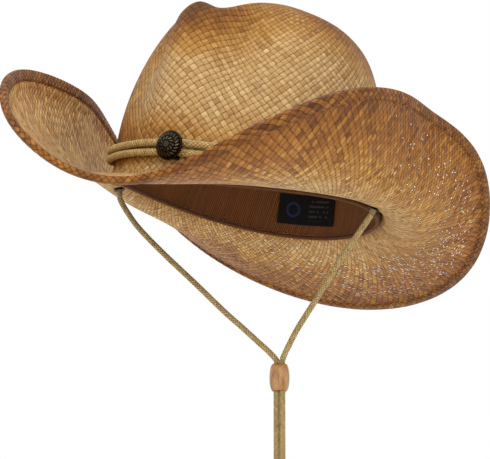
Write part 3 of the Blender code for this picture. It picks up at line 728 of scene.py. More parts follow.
@dataclass(frozen=True)
class Form:
    """The blocked shape of the straw, in millimetres and degrees from the front."""

    half_width: float = 84.5
    half_length: float = 94.5
    opening_rise: tuple[float, float, float] = (-0.6, -1.0, -3.9)
    straw: float = 2.0
    bend: float = 8.0
    edge_room: float = 4.4              # from the straw's edge to the hem's outside
    # Angle, edge radius, edge height, slope at the bend, slope at the edge.
    brim_ribs: tuple = (
        (0, 185, -27, -13, -8), (12, 190, -18, -12, 8), (25, 194, 11, -11, 44),
        (38, 178, 41, -9, 66), (54, 153, 59, -8, 80), (80, 127, 63, -9, 84),
        (110, 144, 49, -24, 70), (140, 174, -1, -21, 16), (160, 188, -26, -20, -8),
        (180, 194, -35, -19, -14))
    # Angle from the nose, ridge radius, ridge height, shoulder, lean.
    crown_ribs: tuple = (
        (0, 77.1, 110.4, 12.8, -0.01), (9, 75.1, 107.1, 10.7, 0.05),
        (20, 64.8, 113.2, 8.6, 0.12), (32, 54.7, 117.9, 15.0, 0.02),
        (46, 45.2, 119.7, 23.7, -0.12), (70, 49.0, 116.1, 22.2, -0.03),
        (100, 51.5, 110.8, 15.1, 0.11), (130, 55.9, 105.7, 13.6, 0.13),
        (155, 64.0, 99.2, 15.8, 0.115), (180, 70.5, 95.7, 17.3, 0.10))
    crown_turned: float = -13.0
    crease_floor: float = 86.0
    pinch_angle: float = 27.0
    pinch_spread: float = 12.0
    pinch_depth: float = 5.0
    pinch_height: float = 88.0
    pinch_tall: float = 30.0
    # Reach of the curves' handles, as shares of what they span.
    edge_pull: float = 0.36
    bend_pull: float = 0.42
    wall_pull: float = 0.42
    crease_pull: tuple[float, float] = (0.70, 0.5)

    @staticmethod
    def rib_value(ribs: tuple, column: int, angles: np.ndarray) -> np.ndarray:
        """Smooth periodic cubic through mirrored ribs.

        Args:
            ribs: the rib table.
            column: which value of the ribs.
            angles: degrees to read it at.

        Returns:
            The value at each angle.
        """
        knots = np.array([r[0] for r in ribs], float)
        values = np.array([r[column] for r in ribs], float)
        x = np.concatenate([-knots[:0:-1], knots])
        y = np.concatenate([values[:0:-1], values])
        count = len(x) - 1
        step = np.diff(x)
        rise = np.diff(y) / step
        system = np.zeros((count, count))
        right = np.zeros(count)
        for i in range(count):
            system[i, i - 1] += step[i - 1]
            system[i, i] += 2 * (step[i - 1] + step[i])
            system[i, (i + 1) % count] += step[i]
            right[i] = 6 * (rise[i] - rise[i - 1])
        bend = np.linalg.solve(system, right)
        bend = np.append(bend, bend[0])
        at = wrapped(angles)
        k = np.clip(np.searchsorted(x, at, side="right") - 1, 0, count - 1)
        a = (x[k + 1] - at) / step[k]
        b = (at - x[k]) / step[k]
        curve = (a ** 3 - a) * bend[k] + (b ** 3 - b) * bend[k + 1]
        return a * y[k] + b * y[k + 1] + curve * step[k] ** 2 / 6

    @staticmethod
    def bezier(corners: tuple, steps: np.ndarray) -> np.ndarray:
        """Cubic curves, one row for each angle.

        Args:
            corners: four arrays of (radius, height) rows.
            steps: where to read the curves, from 0 to 1.

        Returns:
            (radius, height) by angle and step.
        """
        t = np.asarray(steps, float)[None, :, None]
        p = [c[:, None, :] for c in corners]
        return ((1 - t) ** 3 * p[0] + 3 * (1 - t) ** 2 * t * p[1]
                + 3 * (1 - t) * t ** 2 * p[2] + t ** 3 * p[3])

    @staticmethod
    def heading(degrees: np.ndarray) -> np.ndarray:
        """Unit (outward, up) rows for slopes in degrees."""
        slope = np.radians(degrees)
        return np.stack([np.cos(slope), np.sin(slope)], axis=1)

    def opening(self, angles: np.ndarray) -> np.ndarray:
        """Corner of the inner skin at the head opening.

        Args:
            angles: stations in degrees.

        Returns:
            (radius, height) rows.
        """
        t = np.radians(angles)
        radius = 1 / np.sqrt((np.sin(t) / self.half_width) ** 2
                             + (np.cos(t) / self.half_length) ** 2)
        mean, tilt, saddle = self.opening_rise
        level = mean + tilt * np.cos(t) + saddle * np.cos(2 * t)
        return np.stack([radius, level], axis=1)

    def brim(self, angles: np.ndarray, steps: np.ndarray) -> np.ndarray:
        """Inner skin of the brim, from the edge to the bend.

        Args:
            angles: stations in degrees.
            steps: places along it, from 0 to 1.

        Returns:
            (radius, height) by angle and step.
        """
        corner = self.opening(angles)
        leave = self.heading(self.rib_value(self.brim_ribs, 3, angles))
        arrive = self.heading(self.rib_value(self.brim_ribs, 4, angles))
        edge = np.stack([self.rib_value(self.brim_ribs, 1, angles),
                         self.rib_value(self.brim_ribs, 2, angles)], axis=1)
        edge = edge - self.edge_room * arrive
        start = corner + self.bend * leave
        reach = np.linalg.norm(edge - start, axis=1)[:, None]
        return self.bezier((edge, edge - self.edge_pull * reach * arrive,
                            start + self.bend_pull * reach * leave, start), steps)

    def turn_up(self, angles: np.ndarray, steps: np.ndarray) -> np.ndarray:
        """Inner skin of the round bend, from the brim to the wall.

        Args:
            angles: stations in degrees.
            steps: places along it, from 0 to 1.

        Returns:
            (radius, height) by angle and step.
        """
        corner = self.opening(angles)[:, None, :]
        leave = self.heading(self.rib_value(self.brim_ribs, 3, angles))[:, None, :]
        start = corner + self.bend * leave
        end = corner + np.array([0.0, self.bend])
        t = np.asarray(steps, float)[None, :, None]
        return (1 - t) ** 2 * start + 2 * (1 - t) * t * corner + t ** 2 * end

    def wall(self, angles: np.ndarray, steps: np.ndarray) -> np.ndarray:
        """Inner skin of the crown's wall, from the bend to the ridge.

        Args:
            angles: stations in degrees.
            steps: places along it, from 0 to 1.

        Returns:
            (radius, height) by angle and step.
        """
        local = angles - self.crown_turned
        foot = self.opening(angles) + np.array([0.0, self.bend])
        rim = np.stack([self.rib_value(self.crown_ribs, 1, local),
                        self.rib_value(self.crown_ribs, 2, local)], axis=1)
        tall = self.wall_pull * (rim[:, 1] - foot[:, 1])
        lean = self.rib_value(self.crown_ribs, 4, local)
        shoulder = self.rib_value(self.crown_ribs, 3, local)
        low = foot + np.stack([-lean * tall, tall], axis=1)
        high = rim + np.stack([shoulder, 0 * shoulder], axis=1)
        wall = self.bezier((foot, low, high, rim), steps)
        side = hump(np.abs(wrapped(local)), self.pinch_angle, self.pinch_spread)
        level = hump(wall[..., 1], self.pinch_height, self.pinch_tall)
        wall[..., 0] -= self.pinch_depth * side[:, None] * level
        return wall

    def crease(self, angles: np.ndarray, steps: np.ndarray) -> np.ndarray:
        """Inner skin of the teardrop crease, from the ridge to the middle.

        Args:
            angles: stations in degrees.
            steps: places along it, from 0 to 1.

        Returns:
            (radius, height) by angle and step.
        """
        near, far = self.crease_pull
        rim = self.wall(angles, (1.0,))[:, 0]
        over = rim * np.array([near, 1.0])
        level = np.full(len(angles), self.crease_floor)
        floor = np.stack([far * rim[:, 0], level], axis=1)
        middle = np.stack([0 * rim[:, 0], level], axis=1)
        return self.bezier((rim, over, floor, middle), steps)

    @staticmethod
    def around(angles: np.ndarray, section: np.ndarray) -> np.ndarray:
        """Turn (radius, height) rows into points, one row for each angle."""
        t = np.radians(angles)[:, None]
        return np.stack([section[..., 0] * np.sin(t), -section[..., 0] * np.cos(t),
                         section[..., 1] + 0 * t], axis=-1)

    def edge_frame(self, angles: np.ndarray, steps: np.ndarray) -> tuple:
        """Brim points near the edge, with the ways out of and across the straw.

        Args:
            angles: stations in degrees.
            steps: brim stations, 0 at the edge.

        Returns:
            Points, unit rows away from the edge, unit rows up across the straw.
        """
        small = 0.25
        here = self.around(angles, self.brim(angles, steps))
        on = self.around(angles + small, self.brim(angles + small, steps))
        back = self.around(angles - small, self.brim(angles - small, steps))
        inward = self.around(angles, self.brim(angles, np.asarray(steps) + 0.01))
        along = on - back
        across = unit(np.cross(here - inward, along))
        return here, unit(np.cross(along, across)), across


# ---- straw shell ------------------------------------------------------------

@dataclass
class StrawShell:
    """Crown and brim, woven in one piece of split raffia."""

    form: Form
    weave: Weave
    around: int = 320
    brim_rows: int = 58
    bend_rows: int = 6
    wall_rows: int = 38
    crease_rows: int = 17
    ridge_rows: int = 2                 # rows past the ridge that keep the wall's weave
    thin: float = 0.45                  # straw in the middle of the brim
    hole: float = 1.05                  # side of a see-through gap
    flare: float = 1.5                  # how much wider a gap is in the upper skin
    skew: float = 0.5                   # how far a gap leans outwards in the straw
    holes: int = 700
    # Shares of the brim's rows over which the straw thins and thickens again.
    thins: tuple[float, float] = (0.08, 0.16)
    thickens: tuple[float, float] = (0.82, 0.97)
    # The same for where the gaps are, and angle, spread and share of their groups.
    gaps_begin: tuple[float, float] = (0.12, 0.2)
    gaps_end: tuple[float, float] = (0.6, 0.92)
    gaps_anywhere: float = 0.14
    gap_groups: tuple = ((155.0, 46.0, 1.0), (105.0, 26.0, 0.35))
    # Depth of the scorch at the brim's edge, and how far in it fades, in mm; below, the
    # band is deeper and wider, scorch with painted shade on the underside.
    scorch_above: tuple[float, float] = (0.42, 14.0)
    scorch_shade_below: tuple[float, float] = (0.6, 26.0)

    def skin(self) -> tuple[np.ndarray, np.ndarray]:
        """Inner skin as a grid of angles and rows, without the middle point.

        Returns:
            The angles and the points.
        """
        angles = stations(self.around)
        even = np.linspace(0, 1, self.brim_rows)
        brim = 0.5 * (even + even ** 1.2)       # closer rows at the edge
        bend = np.linspace(0, 1, self.bend_rows + 1)[1:]
        wall = np.linspace(0, 1, self.wall_rows + 1)[1:]
        crease = np.linspace(0, 1, self.crease_rows + 2)[1:-1]
        rows = (self.form.brim(angles, brim), self.form.turn_up(angles, bend),
                self.form.wall(angles, wall), self.form.crease(angles, crease))
        return angles, self.form.around(angles, np.concatenate(rows, axis=1))

    @staticmethod
    def normals(grid: np.ndarray) -> np.ndarray:
        """Unit normals of a grid that closes on itself round the hat.

        Args:
            grid: points by angle and row.

        Returns:
            Unit rows that point to the outside of the crown and up from the brim.
        """
        along = np.roll(grid, -1, axis=0) - np.roll(grid, 1, axis=0)
        up = np.gradient(grid, axis=1)
        away = unit(np.cross(up, along))
        return away if away[:, -1, 2].mean() > 0 else -away

    def thickness(self, count: int) -> np.ndarray:
        """Straw thickness of each row: full at the hem, thin in mid brim.

        Args:
            count: rows in the grid.

        Returns:
            Thickness in millimetres.
        """
        run = np.arange(count) / (self.brim_rows - 1)
        thin_part = smoothstep(*self.thins, run) * (1 - smoothstep(*self.thickens, run))
        return self.form.straw - (self.form.straw - self.thin) * thin_part

    def counts(self, grid: np.ndarray) -> np.ndarray:
        """Strand counts at each place for the two weaves and the flat tip.

        Args:
            grid: points of the inner skin.

        Returns:
            (kind, angle, row, 2) counts; kinds are brim, crown and tip.
        """
        radius = np.hypot(grid[..., 0], grid[..., 1])
        step = np.linalg.norm(np.diff(grid, axis=1), axis=2)
        middle = 0.5 * (radius[:, 1:] + radius[:, :-1])
        run = np.cumsum(step / np.maximum(middle, 1.0), axis=1)
        run = np.concatenate([np.zeros((len(grid), 1)), run], axis=1)
        turn = (np.arange(len(grid)) / len(grid))[:, None] + 0 * run
        made = []
        for strands, stretch in ((self.weave.brim_turn, self.weave.brim_stretch),
                                 (self.weave.crown_turn, 1.0)):
            along = run * strands * stretch / math.tau
            made.append(np.stack([turn * strands, along], axis=-1))
        flat = math.sqrt(2) * self.weave.crown_strand
        made.append(grid[..., :2] / flat)
        return np.array(made)

    def toast(self, angles: np.ndarray, grid: np.ndarray, outer: bool) -> np.ndarray:
        """Scorch and painted shade at each place, from 0 for raw straw to 1 at the
        brim's edge.

        Args:
            angles: stations in degrees.
            grid: points of the inner skin.
            outer: whether this is the upper or outer skin.

        Returns:
            The scorch and painted shade by angle and row.
        """
        last = self.brim_rows + self.bend_rows
        ridge = last + self.wall_rows - 1
        step = np.linalg.norm(np.diff(grid, axis=1), axis=2)
        run = np.cumsum(step, axis=1)
        run = np.concatenate([np.zeros((len(grid), 1)), run], axis=1)
        row = np.arange(grid.shape[1])[None, :]
        on_brim = 1 - smoothstep(self.brim_rows - 6, last - 2, row)
        on_crown = 1 - on_brim
        t = angles[:, None]
        depth, fade = self.scorch_above if outer else self.scorch_shade_below
        brown = depth * np.exp(-run / fade) * on_brim
        if not outer:
            # A soft second ring, then more at the wearer's left front and the back.
            brown = brown + on_brim * 0.25 * hump(run, 34.0, 28.0)
            brown = brown + on_brim * 0.22 * hump(t, 50.0, 45.0) * hump(run, 18.0, 30.0)
            back = hump(np.abs(t), 180.0, 55.0)
            brown = brown + on_brim * 0.2 * back * hump(run, 20.0, 60.0)
            # Painted shade: the whole inside of the crown is darkened.
            brown = brown + 0.3 * on_crown
            return np.clip(brown, 0, 1)
        local = np.abs(wrapped(t - self.form.crown_turned))
        height = grid[..., 2]
        nose = hump(local, 0.0, 32.0) * smoothstep(62, 106, height)
        brown = brown + 0.9 * nose
        top = hump(run - run[:, ridge:ridge + 1], 0.0, 30.0)
        brown = brown + 0.85 * top * smoothstep(20, 70, local)
        foot = hump(height, 20.0, 15.0) * on_crown
        brown = brown + 0.5 * foot * (0.3 + 0.7 * hump(t, -40.0, 45.0))
        # Painted shade: the crown's side at the wearer's right front is darkened.
        right_front = hump(t, -64.0, 24.0) * on_crown
        brown = brown + 0.4 * right_front
        in_crease = row > ridge
        brown = brown + 0.4 * in_crease
        return np.clip(brown, 0, 1)

    def build(self, finishes: Finishes) -> bpy.types.Object:
        """Build and dress the shell.

        Args:
            finishes: the hat's finishes.

        Returns:
            The shell.
        """
        angles, grid = self.skin()
        count = grid.shape[1]
        thick = self.thickness(count)[None, :, None]
        away = self.normals(grid)
        upper = grid + away * thick
        size = self.around * count
        tip = np.array([[0, 0, self.form.crease_floor],
                        [0, 0, self.form.crease_floor + self.form.straw]])
        points = np.concatenate([grid.reshape(-1, 3), upper.reshape(-1, 3), tip])
        counts = self.counts(grid).reshape(3, size, 2)
        quads = loft(self.around, count, True, False)
        row = quads[:, 0] % count
        split = self.brim_rows + self.bend_rows // 2
        ridge = self.brim_rows + self.bend_rows + self.wall_rows - 1 + self.ridge_rows
        kind = np.where(row < split, 0, np.where(row < ridge, 1, 2))
        uv = counts[kind[:, None], quads]
        seam = quads[:, 2] < quads[:, 1]
        turns = np.array([self.weave.brim_turn, self.weave.crown_turn, 0])[kind]
        uv[seam, 2, 0] += turns[seam]
        uv[seam, 3, 0] += turns[seam]
        chosen = self.choose(row, quads, grid.reshape(-1, 3))
        whole = np.ones(len(quads), bool)
        whole[chosen] = False
        faces = quads[whole].tolist() + (quads[whole] + size)[:, ::-1].tolist()
        corners = [uv[whole].reshape(-1, 2), uv[whole][:, ::-1].reshape(-1, 2)]
        kinds = [kind[whole], kind[whole]]
        edge = quads[row == 0]
        rim = np.stack([edge[:, 3] + size, edge[:, 0] + size, edge[:, 0], edge[:, 3]],
                       axis=1)
        faces += rim.tolist()
        edge_uv = uv[row == 0]
        corners.append(edge_uv[:, [3, 0, 0, 3]].reshape(-1, 2))
        kinds.append(np.zeros(len(rim), int))
        ends = np.arange(self.around) * count + count - 1
        on = np.roll(ends, -1)
        middle = np.zeros((self.around, 2))
        for low, centre, flip in ((0, 2 * size, False), (size, 2 * size + 1, True)):
            fan = np.stack([ends + low, np.full(self.around, centre), on + low], axis=1)
            here = np.stack([counts[2][ends], middle, counts[2][on]], axis=1)
            faces += (fan[:, ::-1] if flip else fan).tolist()
            corners.append((here[:, ::-1] if flip else here).reshape(-1, 2))
            kinds.append(np.full(self.around, 2))
        extra, extra_faces, extra_uv = self.pierce(points, quads[chosen], uv[chosen],
                                                   size)
        points = np.concatenate([points, extra])
        faces += extra_faces
        corners.append(extra_uv)
        kinds.append(np.zeros(len(extra_faces), int))
        shell = mesh_piece("raffia_shell", points, faces, finishes.straw,
                           np.concatenate(corners), sharp=60.0)
        shell.data.materials.append(finishes.straw_crown)
        crown = np.concatenate(kinds) > 0
        shell.data.polygons.foreach_set("material_index", crown.astype(np.int32))
        # The crease's middle points get 0.5; painted shade darkens the walls and rims
        # of the see-through gaps (0.45).
        brown = np.concatenate([self.toast(angles, grid, False).ravel(),
                                self.toast(angles, grid, True).ravel(), [0.5, 0.5],
                                np.full(len(extra), 0.45)])
        mark(shell, "toast", brown)
        return put(shell, Body.HAT, "raffia_straw", "raffia_body")

    def choose(self, row: np.ndarray, quads: np.ndarray,
               points: np.ndarray) -> np.ndarray:
        """Pick the brim quads that get a see-through gap between strands.

        Args:
            row: row of each quad.
            quads: vertex numbers.
            points: points of the inner skin.

        Returns:
            Numbers of the chosen quads.
        """
        chance = np.random.default_rng(11)
        run = row / (self.brim_rows - 1)
        x, y = points[quads[:, 0], 0], points[quads[:, 0], 1]
        angle = np.degrees(np.arctan2(x, -y))
        where = self.gaps_anywhere
        for at, spread, share in self.gap_groups:
            where = where + share * hump(wrapped(angle - at), 0, spread)
        weight = smoothstep(*self.gaps_begin, run)
        weight = weight * (1 - smoothstep(*self.gaps_end, run))
        weight = weight * where * (chance.random(len(quads)) ** 2)
        weight = weight / weight.sum()
        return np.sort(chance.choice(len(quads), self.holes, replace=False, p=weight))

    def pierce(self, points: np.ndarray, quads: np.ndarray, uv: np.ndarray,
               size: int) -> tuple[np.ndarray, list, np.ndarray]:
        """Cut a small square gap in each chosen quad, through both skins.

        Args:
            points: all points of the shell.
            quads: the chosen quads of the inner skin.
            uv: their strand counts.
            size: points in one skin.

        Returns:
            New points, new faces and the faces' strand counts.
        """
        chance = np.random.default_rng(12)
        middles = points[quads].mean(axis=1)
        reach = np.hypot(middles[:, 0], middles[:, 1])
        back = smoothstep(0.2, 0.75, middles[:, 1] / reach)
        sides = self.hole * (0.6 + 0.7 * chance.random(len(quads)) + 0.5 * back)
        made, faces, corners = [], [], []
        first = len(points)
        for quad, part, side in zip(quads, uv, sides):
            centre_uv = part.mean(axis=0)
            for skin, wider in ((0, 1.0), (1, self.flare)):
                ring = points[quad + skin * size]
                centre = ring.mean(axis=0)
                reach = np.linalg.norm(ring - centre, axis=1, keepdims=True)
                lean = ring[0] + ring[3] - ring[1] - ring[2]
                lean = lean / np.linalg.norm(lean) * self.skew * skin
                corner = (ring - centre) / reach * side * wider * TO_CORNER
                made.append(centre + lean + corner)
            share = side * TO_CORNER / reach.mean()
            inner_uv = centre_uv + (part - centre_uv) * min(share, 0.8)
            for k in range(4):
                m = (k + 1) % 4
                low = [quad[k], quad[m], first + m, first + k]
                high = [quad[m] + size, quad[k] + size, first + 4 + k, first + 4 + m]
                tube = [first + k, first + m, first + 4 + m, first + 4 + k]
                faces += [[int(v) for v in f] for f in (low, high, tube)]
                corners += [part[k], part[m], inner_uv[m], inner_uv[k],
                            part[m], part[k], inner_uv[k], inner_uv[m],
                            inner_uv[k], inner_uv[m], inner_uv[m], inner_uv[k]]
            first += 8
        return np.concatenate(made), faces, np.array(corners)


@dataclass
class BrimEdge:
    """Folded raffia strip round the brim, over its steel wire.

    Its two ends run out thin on the straw, so that they leave no step.
    """

    form: Form
    weave: Weave
    around: int = 960
    relief: float = 0.3                 # how far the strands stand out of the roll
    browning: float = 0.8               # how brown the strip is scorched
    hem: float = 0.9
    room: float = 0.6
    ferrule: float = 2.6
    gap: float = 0.35
    skin: float = 0.05                  # from the straw to the strip's thin ends
    radius: float = 165.0               # mean radius, for the strand count
    rows: tuple[float, float, float] = (0.0, 0.02, 0.04)

    def build(self, finishes: Finishes) -> bpy.types.Object:
        """Build and dress the strip.

        Args:
            finishes: the hat's finishes.

        Returns:
            The strip.
        """
        here, away, across = self.form.edge_frame(stations(self.around), self.rows)
        near, far = self.room, self.form.straw + self.room
        bulge = self.room + self.ferrule + self.gap
        low, high = near + self.hem, far + self.hem
        straw, skin, tip = self.form.straw, self.skin, bulge + self.hem
        side = bulge + 0.6 * self.hem
        # Station in the edge rows, run outwards, run across the straw.
        inside = ((2, 0, -skin), (1, 0, -near), (0, 0.6, -near), (0, bulge, -0.1),
                  (0, bulge, straw + 0.1), (0, 0.6, far), (1, 0, far),
                  (2, 0, straw + skin))
        outside = ((2, 0, straw + 3 * skin), (1.5, 0, 0.5 * high + 1.1), (1, 0, high),
                   (0.5, 0, high), (0, 0.9, high), (0, 2.4, high - 0.25),
                   (0, side, straw + 0.95), (0, tip, straw / 2 + 0.6),
                   (0, tip, straw / 2 - 0.6), (0, side, -0.95),
                   (0, 2.4, -low + 0.25), (0, 0.9, -low), (0.5, 0, -low),
                   (1, 0, -low), (1.5, 0, -0.6 * low), (2, 0, -3 * skin))
        columns = []
        for station, out, up in inside + outside:
            k, part = int(station), station % 1
            m = min(k + 1, 2)
            base = here[:, k] * (1 - part) + here[:, m] * part
            columns.append(base + out * away[:, k] + up * across[:, k])
        grid = np.stack(columns, axis=1)
        size = grid.shape[1]
        quads = loft(self.around, size, True, True)
        spread = np.linalg.norm(np.roll(grid, -1, axis=1) - grid, axis=2)
        strands = self.weave.brim_turn
        pitch = math.tau * self.radius / strands
        over = np.append(0, np.cumsum(spread.mean(axis=0))) / pitch
        turn = np.arange(self.around + 1) * strands / self.around
        high = weave_height(turn[:-1, None], over[None, :size])
        outer = np.arange(size) >= len(inside)
        lobe = unit(grid - grid[:, 3:5].mean(axis=1, keepdims=True))
        grid = grid - lobe * (self.relief * (1 - high) * outer)[..., None]
        points = grid.reshape(-1, 3)
        i = quads[:, 0] // size
        inner = grid[:, 3:5].mean(axis=1)[i] - away[i, 0]
        uv = loft_counts(quads, size, turn, over)
        faces, uv, _ = face_out(points, quads, uv, inner)
        strip = mesh_piece("raffia_hem", points, faces, finishes.straw, uv, 70.0)
        mark(strip, "toast", np.full(len(points), self.browning))
        return put(strip, Body.HAT, "toasted_raffia", "brim_edge_hem")


# ---- sweatband --------------------------------------------------------------

@dataclass
class Sweatband:
    """Ribbed band inside the opening, with its corded edge and label."""

    form: Form
    around: int = 240
    band: float = 1.1
    clear: float = 0.6                  # from the straw to the band
    lift: float = 1.5
    top: float = 0.19                   # how far up the wall it goes
    rib: float = 1.4
    piping: float = 2.8
    label_angle: float = 179.0
    label_half: float = 22.0
    label_low: float = 4.5
    label_high: float = 24.5
    label_gap: float = 0.75             # from the band's ribs to the label's back
    label_thick: float = 0.6
    radius: float = 92.0                # mean radius, for the rib count

    def rows(self, angles: np.ndarray, inset: float) -> np.ndarray:
        """Rows of the band, set in from the straw.

        Args:
            angles: stations in degrees.
            inset: distance in from the straw.

        Returns:
            Points by angle and row.
        """
        corner = self.form.opening(angles)
        low = corner + np.array([0.0, self.lift])
        foot = corner + np.array([0.0, self.form.bend])
        upper = self.form.wall(angles, (0.05, 0.1, 0.145, self.top))
        rows = np.concatenate([low[:, None], 0.5 * (low + foot)[:, None], foot[:, None],
                               upper], axis=1)
        rows[..., 0] -= inset
        return self.form.around(angles, rows)

    def build(self, finishes: Finishes) -> list[bpy.types.Object]:
        """Build and dress the band, the piping and the label.

        Args:
            finishes: the hat's finishes.

        Returns:
            The three pieces.
        """
        angles = stations(self.around)
        outer = self.rows(angles, self.clear)
        inner = self.rows(angles, self.clear + self.band)
        grid = np.concatenate([outer, inner[:, ::-1]], axis=1)
        size = grid.shape[1]
        quads = loft(self.around, size, True, True)
        turn = np.arange(self.around + 1) * (
            math.tau * self.radius / self.around / self.rib)
        level = np.append(grid[0, :, 2], grid[0, 0, 2])
        points = grid.reshape(-1, 3)
        faces, uv, _ = face_out(points, quads, loft_counts(quads, size, turn, level),
                                grid.mean(axis=1)[quads[:, 0] // size])
        band = mesh_piece("ribbed_sweatband", points, faces, finishes.ribbon, uv)
        put(band, Body.HAT, "ribbed_fabric", "sweatband")
        rows = self.form.opening(angles)
        rows = rows + np.array([-(self.clear + self.piping / 2),
                                self.lift - 0.35 - self.piping / 2])
        path = self.form.around(angles, rows[:, None, :])[:, 0]
        braid = Braid("corded_piping", self.piping, 10, 0.05, 20)
        edge = braid.lay(path, True, finishes.piping)
        put(edge, Body.HAT, "piping_fabric", "sweatband_piping")
        return [band, edge, self.label(finishes)]

    def label(self, finishes: Finishes) -> bpy.types.Object:
        """Build the small cloth label at the back.

        Args:
            finishes: the hat's finishes.

        Returns:
            The label.
        """
        half = math.degrees(self.label_half / self.form.half_length)
        across = np.linspace(-1, 1, 33)
        angles = self.label_angle + across * half
        corner = self.form.opening(angles)
        wall = self.form.wall(angles, np.linspace(0.0, 0.25, 11))
        heights = np.linspace(self.label_low, self.label_high, 12)
        sections = []
        for k, angle in enumerate(angles):
            known = np.append(corner[k, 0], wall[k, :, 0])
            level = np.append(corner[k, 1], wall[k, :, 1])
            radius = np.interp(heights, level, known) - (
                self.clear + self.band + self.label_gap)
            outer = np.stack([radius, heights], axis=1)
            inner = outer - np.array([self.label_thick, 0.0])
            loop = np.concatenate([outer, inner[::-1]])
            sections.append(self.form.around(np.array([angle]), loop[None])[0])
        grid = np.array(sections)
        size = grid.shape[1]
        quads = loft(len(grid), size, False, True)
        faces = quads.tolist() + [list(range(size))[::-1]]
        faces.append(list(range((len(grid) - 1) * size, len(grid) * size)))
        x = np.repeat(-across * self.label_half, size)
        y = np.tile(np.append(heights, heights[::-1]) - self.label_low, len(grid))
        points = grid.reshape(-1, 3)
        turned = outward(points, faces, points.mean(axis=0))
        uv = [(x[v], y[v]) for face in turned for v in face]
        label = mesh_piece("cloth_label", points, turned, finishes.label, np.array(uv))
        return put(label, Body.HAT, "label_cloth", "woven_label")


# ---- braids, knots and bead -------------------------------------------------

@dataclass
class Braid:
    """Round braided cord: strands that cross over and under at 45 degrees.

    A real cord this thick has eight strands or more; it is drawn with six, so
    that each one shows.
    """

    name: str
    diameter: float
    strands: int = 6                    # strands met on one way round
    relief: float = 0.2                 # hollow between strands, of the radius
    sides: int = 18
    grain: float = 4.0                  # rows along for each strand
    round_end: float = 0.9              # how far a free end closes in

    def lay(self, path: np.ndarray, closed: bool,
            finish: bpy.types.Material) -> bpy.types.Object:
        """Lay the braid along a path.

        Args:
            path: points in millimetres.
            closed: whether the path joins up.
            finish: the braid's material.

        Returns:
            The cord as a mesh.
        """
        cell = math.pi * self.diameter / self.strands
        line = self.even(path, cell / self.grain, closed)
        count = len(line)
        aim = np.roll(line, -1, axis=0) - np.roll(line, 1, axis=0)
        if not closed:
            aim[0], aim[-1] = line[1] - line[0], line[-1] - line[-2]
        aim = unit(aim)
        side = self.carry(aim)
        other = np.cross(aim, side)
        if closed:
            # Spread the frame's misfit over the whole ring.
            end = math.atan2(np.dot(side[-1], other[0]), np.dot(side[-1], side[0]))
            turn = -end * np.arange(count) / count
            cos, sin = np.cos(turn)[:, None], np.sin(turn)[:, None]
            side, other = cos * side + sin * other, -sin * side + cos * other
        run = np.arange(count + 1) / self.grain
        if closed:
            run = run * (2 * round(run[-1] / 2)) / run[-1]
        across = np.arange(self.sides + 1) * self.strands / self.sides
        high = weave_height(across[None, :-1], run[:count, None])
        radius = self.diameter / 2 * (1 - self.relief * (1 - high))
        if not closed:
            row = np.arange(count)
            from_end = np.minimum(row, row[::-1]) * cell / self.grain
            round_off = np.sqrt(np.clip(from_end / (self.diameter / 2), 0.04, 1))
            radius = radius * (1 - (1 - round_off) * self.round_end)[:, None]
        spin = spins(self.sides)[None, :, None]
        ring = np.cos(spin) * side[:, None] + np.sin(spin) * other[:, None]
        grid = line[:, None] + radius[..., None] * ring
        quads = loft(count, self.sides, closed, True)
        uv = loft_counts(quads, self.sides, run, across)[..., ::-1]
        points = grid.reshape(-1, 3)
        middle = line[quads[:, 0] // self.sides]
        faces, uv, flipped = face_out(points, quads, uv, middle)
        rows = [uv]
        if not closed:
            for first in (0, (count - 1) * self.sides):
                cap = list(range(first, first + self.sides))
                faces = faces + [cap if (first == 0) == flipped else cap[::-1]]
                rows.append(np.zeros((self.sides, 2)))
        return mesh_piece(self.name, points, faces, finish, np.concatenate(rows), 80.0)

    @staticmethod
    def even(path: np.ndarray, spacing: float, closed: bool) -> np.ndarray:
        """Points at even spacing along a path.

        Args:
            path: points in millimetres.
            spacing: about how far apart the new points are.
            closed: whether the path joins up.

        Returns:
            The new points.
        """
        line = np.vstack([path, path[:1]]) if closed else np.asarray(path, float)
        run = np.append(0, np.cumsum(np.linalg.norm(np.diff(line, axis=0), axis=1)))
        count = max(4, int(round(run[-1] / spacing)))
        at = np.linspace(0, run[-1], count + 1)
        at = at[:-1] if closed else at
        return np.stack([np.interp(at, run, line[:, k]) for k in range(3)], axis=1)

    @staticmethod
    def carry(aim: np.ndarray) -> np.ndarray:
        """Side directions carried along a line without twist.

        Args:
            aim: unit rows along the line.

        Returns:
            Unit rows square to them.
        """
        side = np.zeros_like(aim)
        upright = abs(aim[0, 2]) >= 0.8
        guess = np.array([0.0, 1.0, 0.0] if upright else [0.0, 0.0, 1.0])
        side[0] = unit(guess - np.dot(guess, aim[0]) * aim[0])
        for k in range(1, len(aim)):
            kept = side[k - 1] - np.dot(side[k - 1], aim[k]) * aim[k]
            side[k] = kept / np.linalg.norm(kept)
        return side


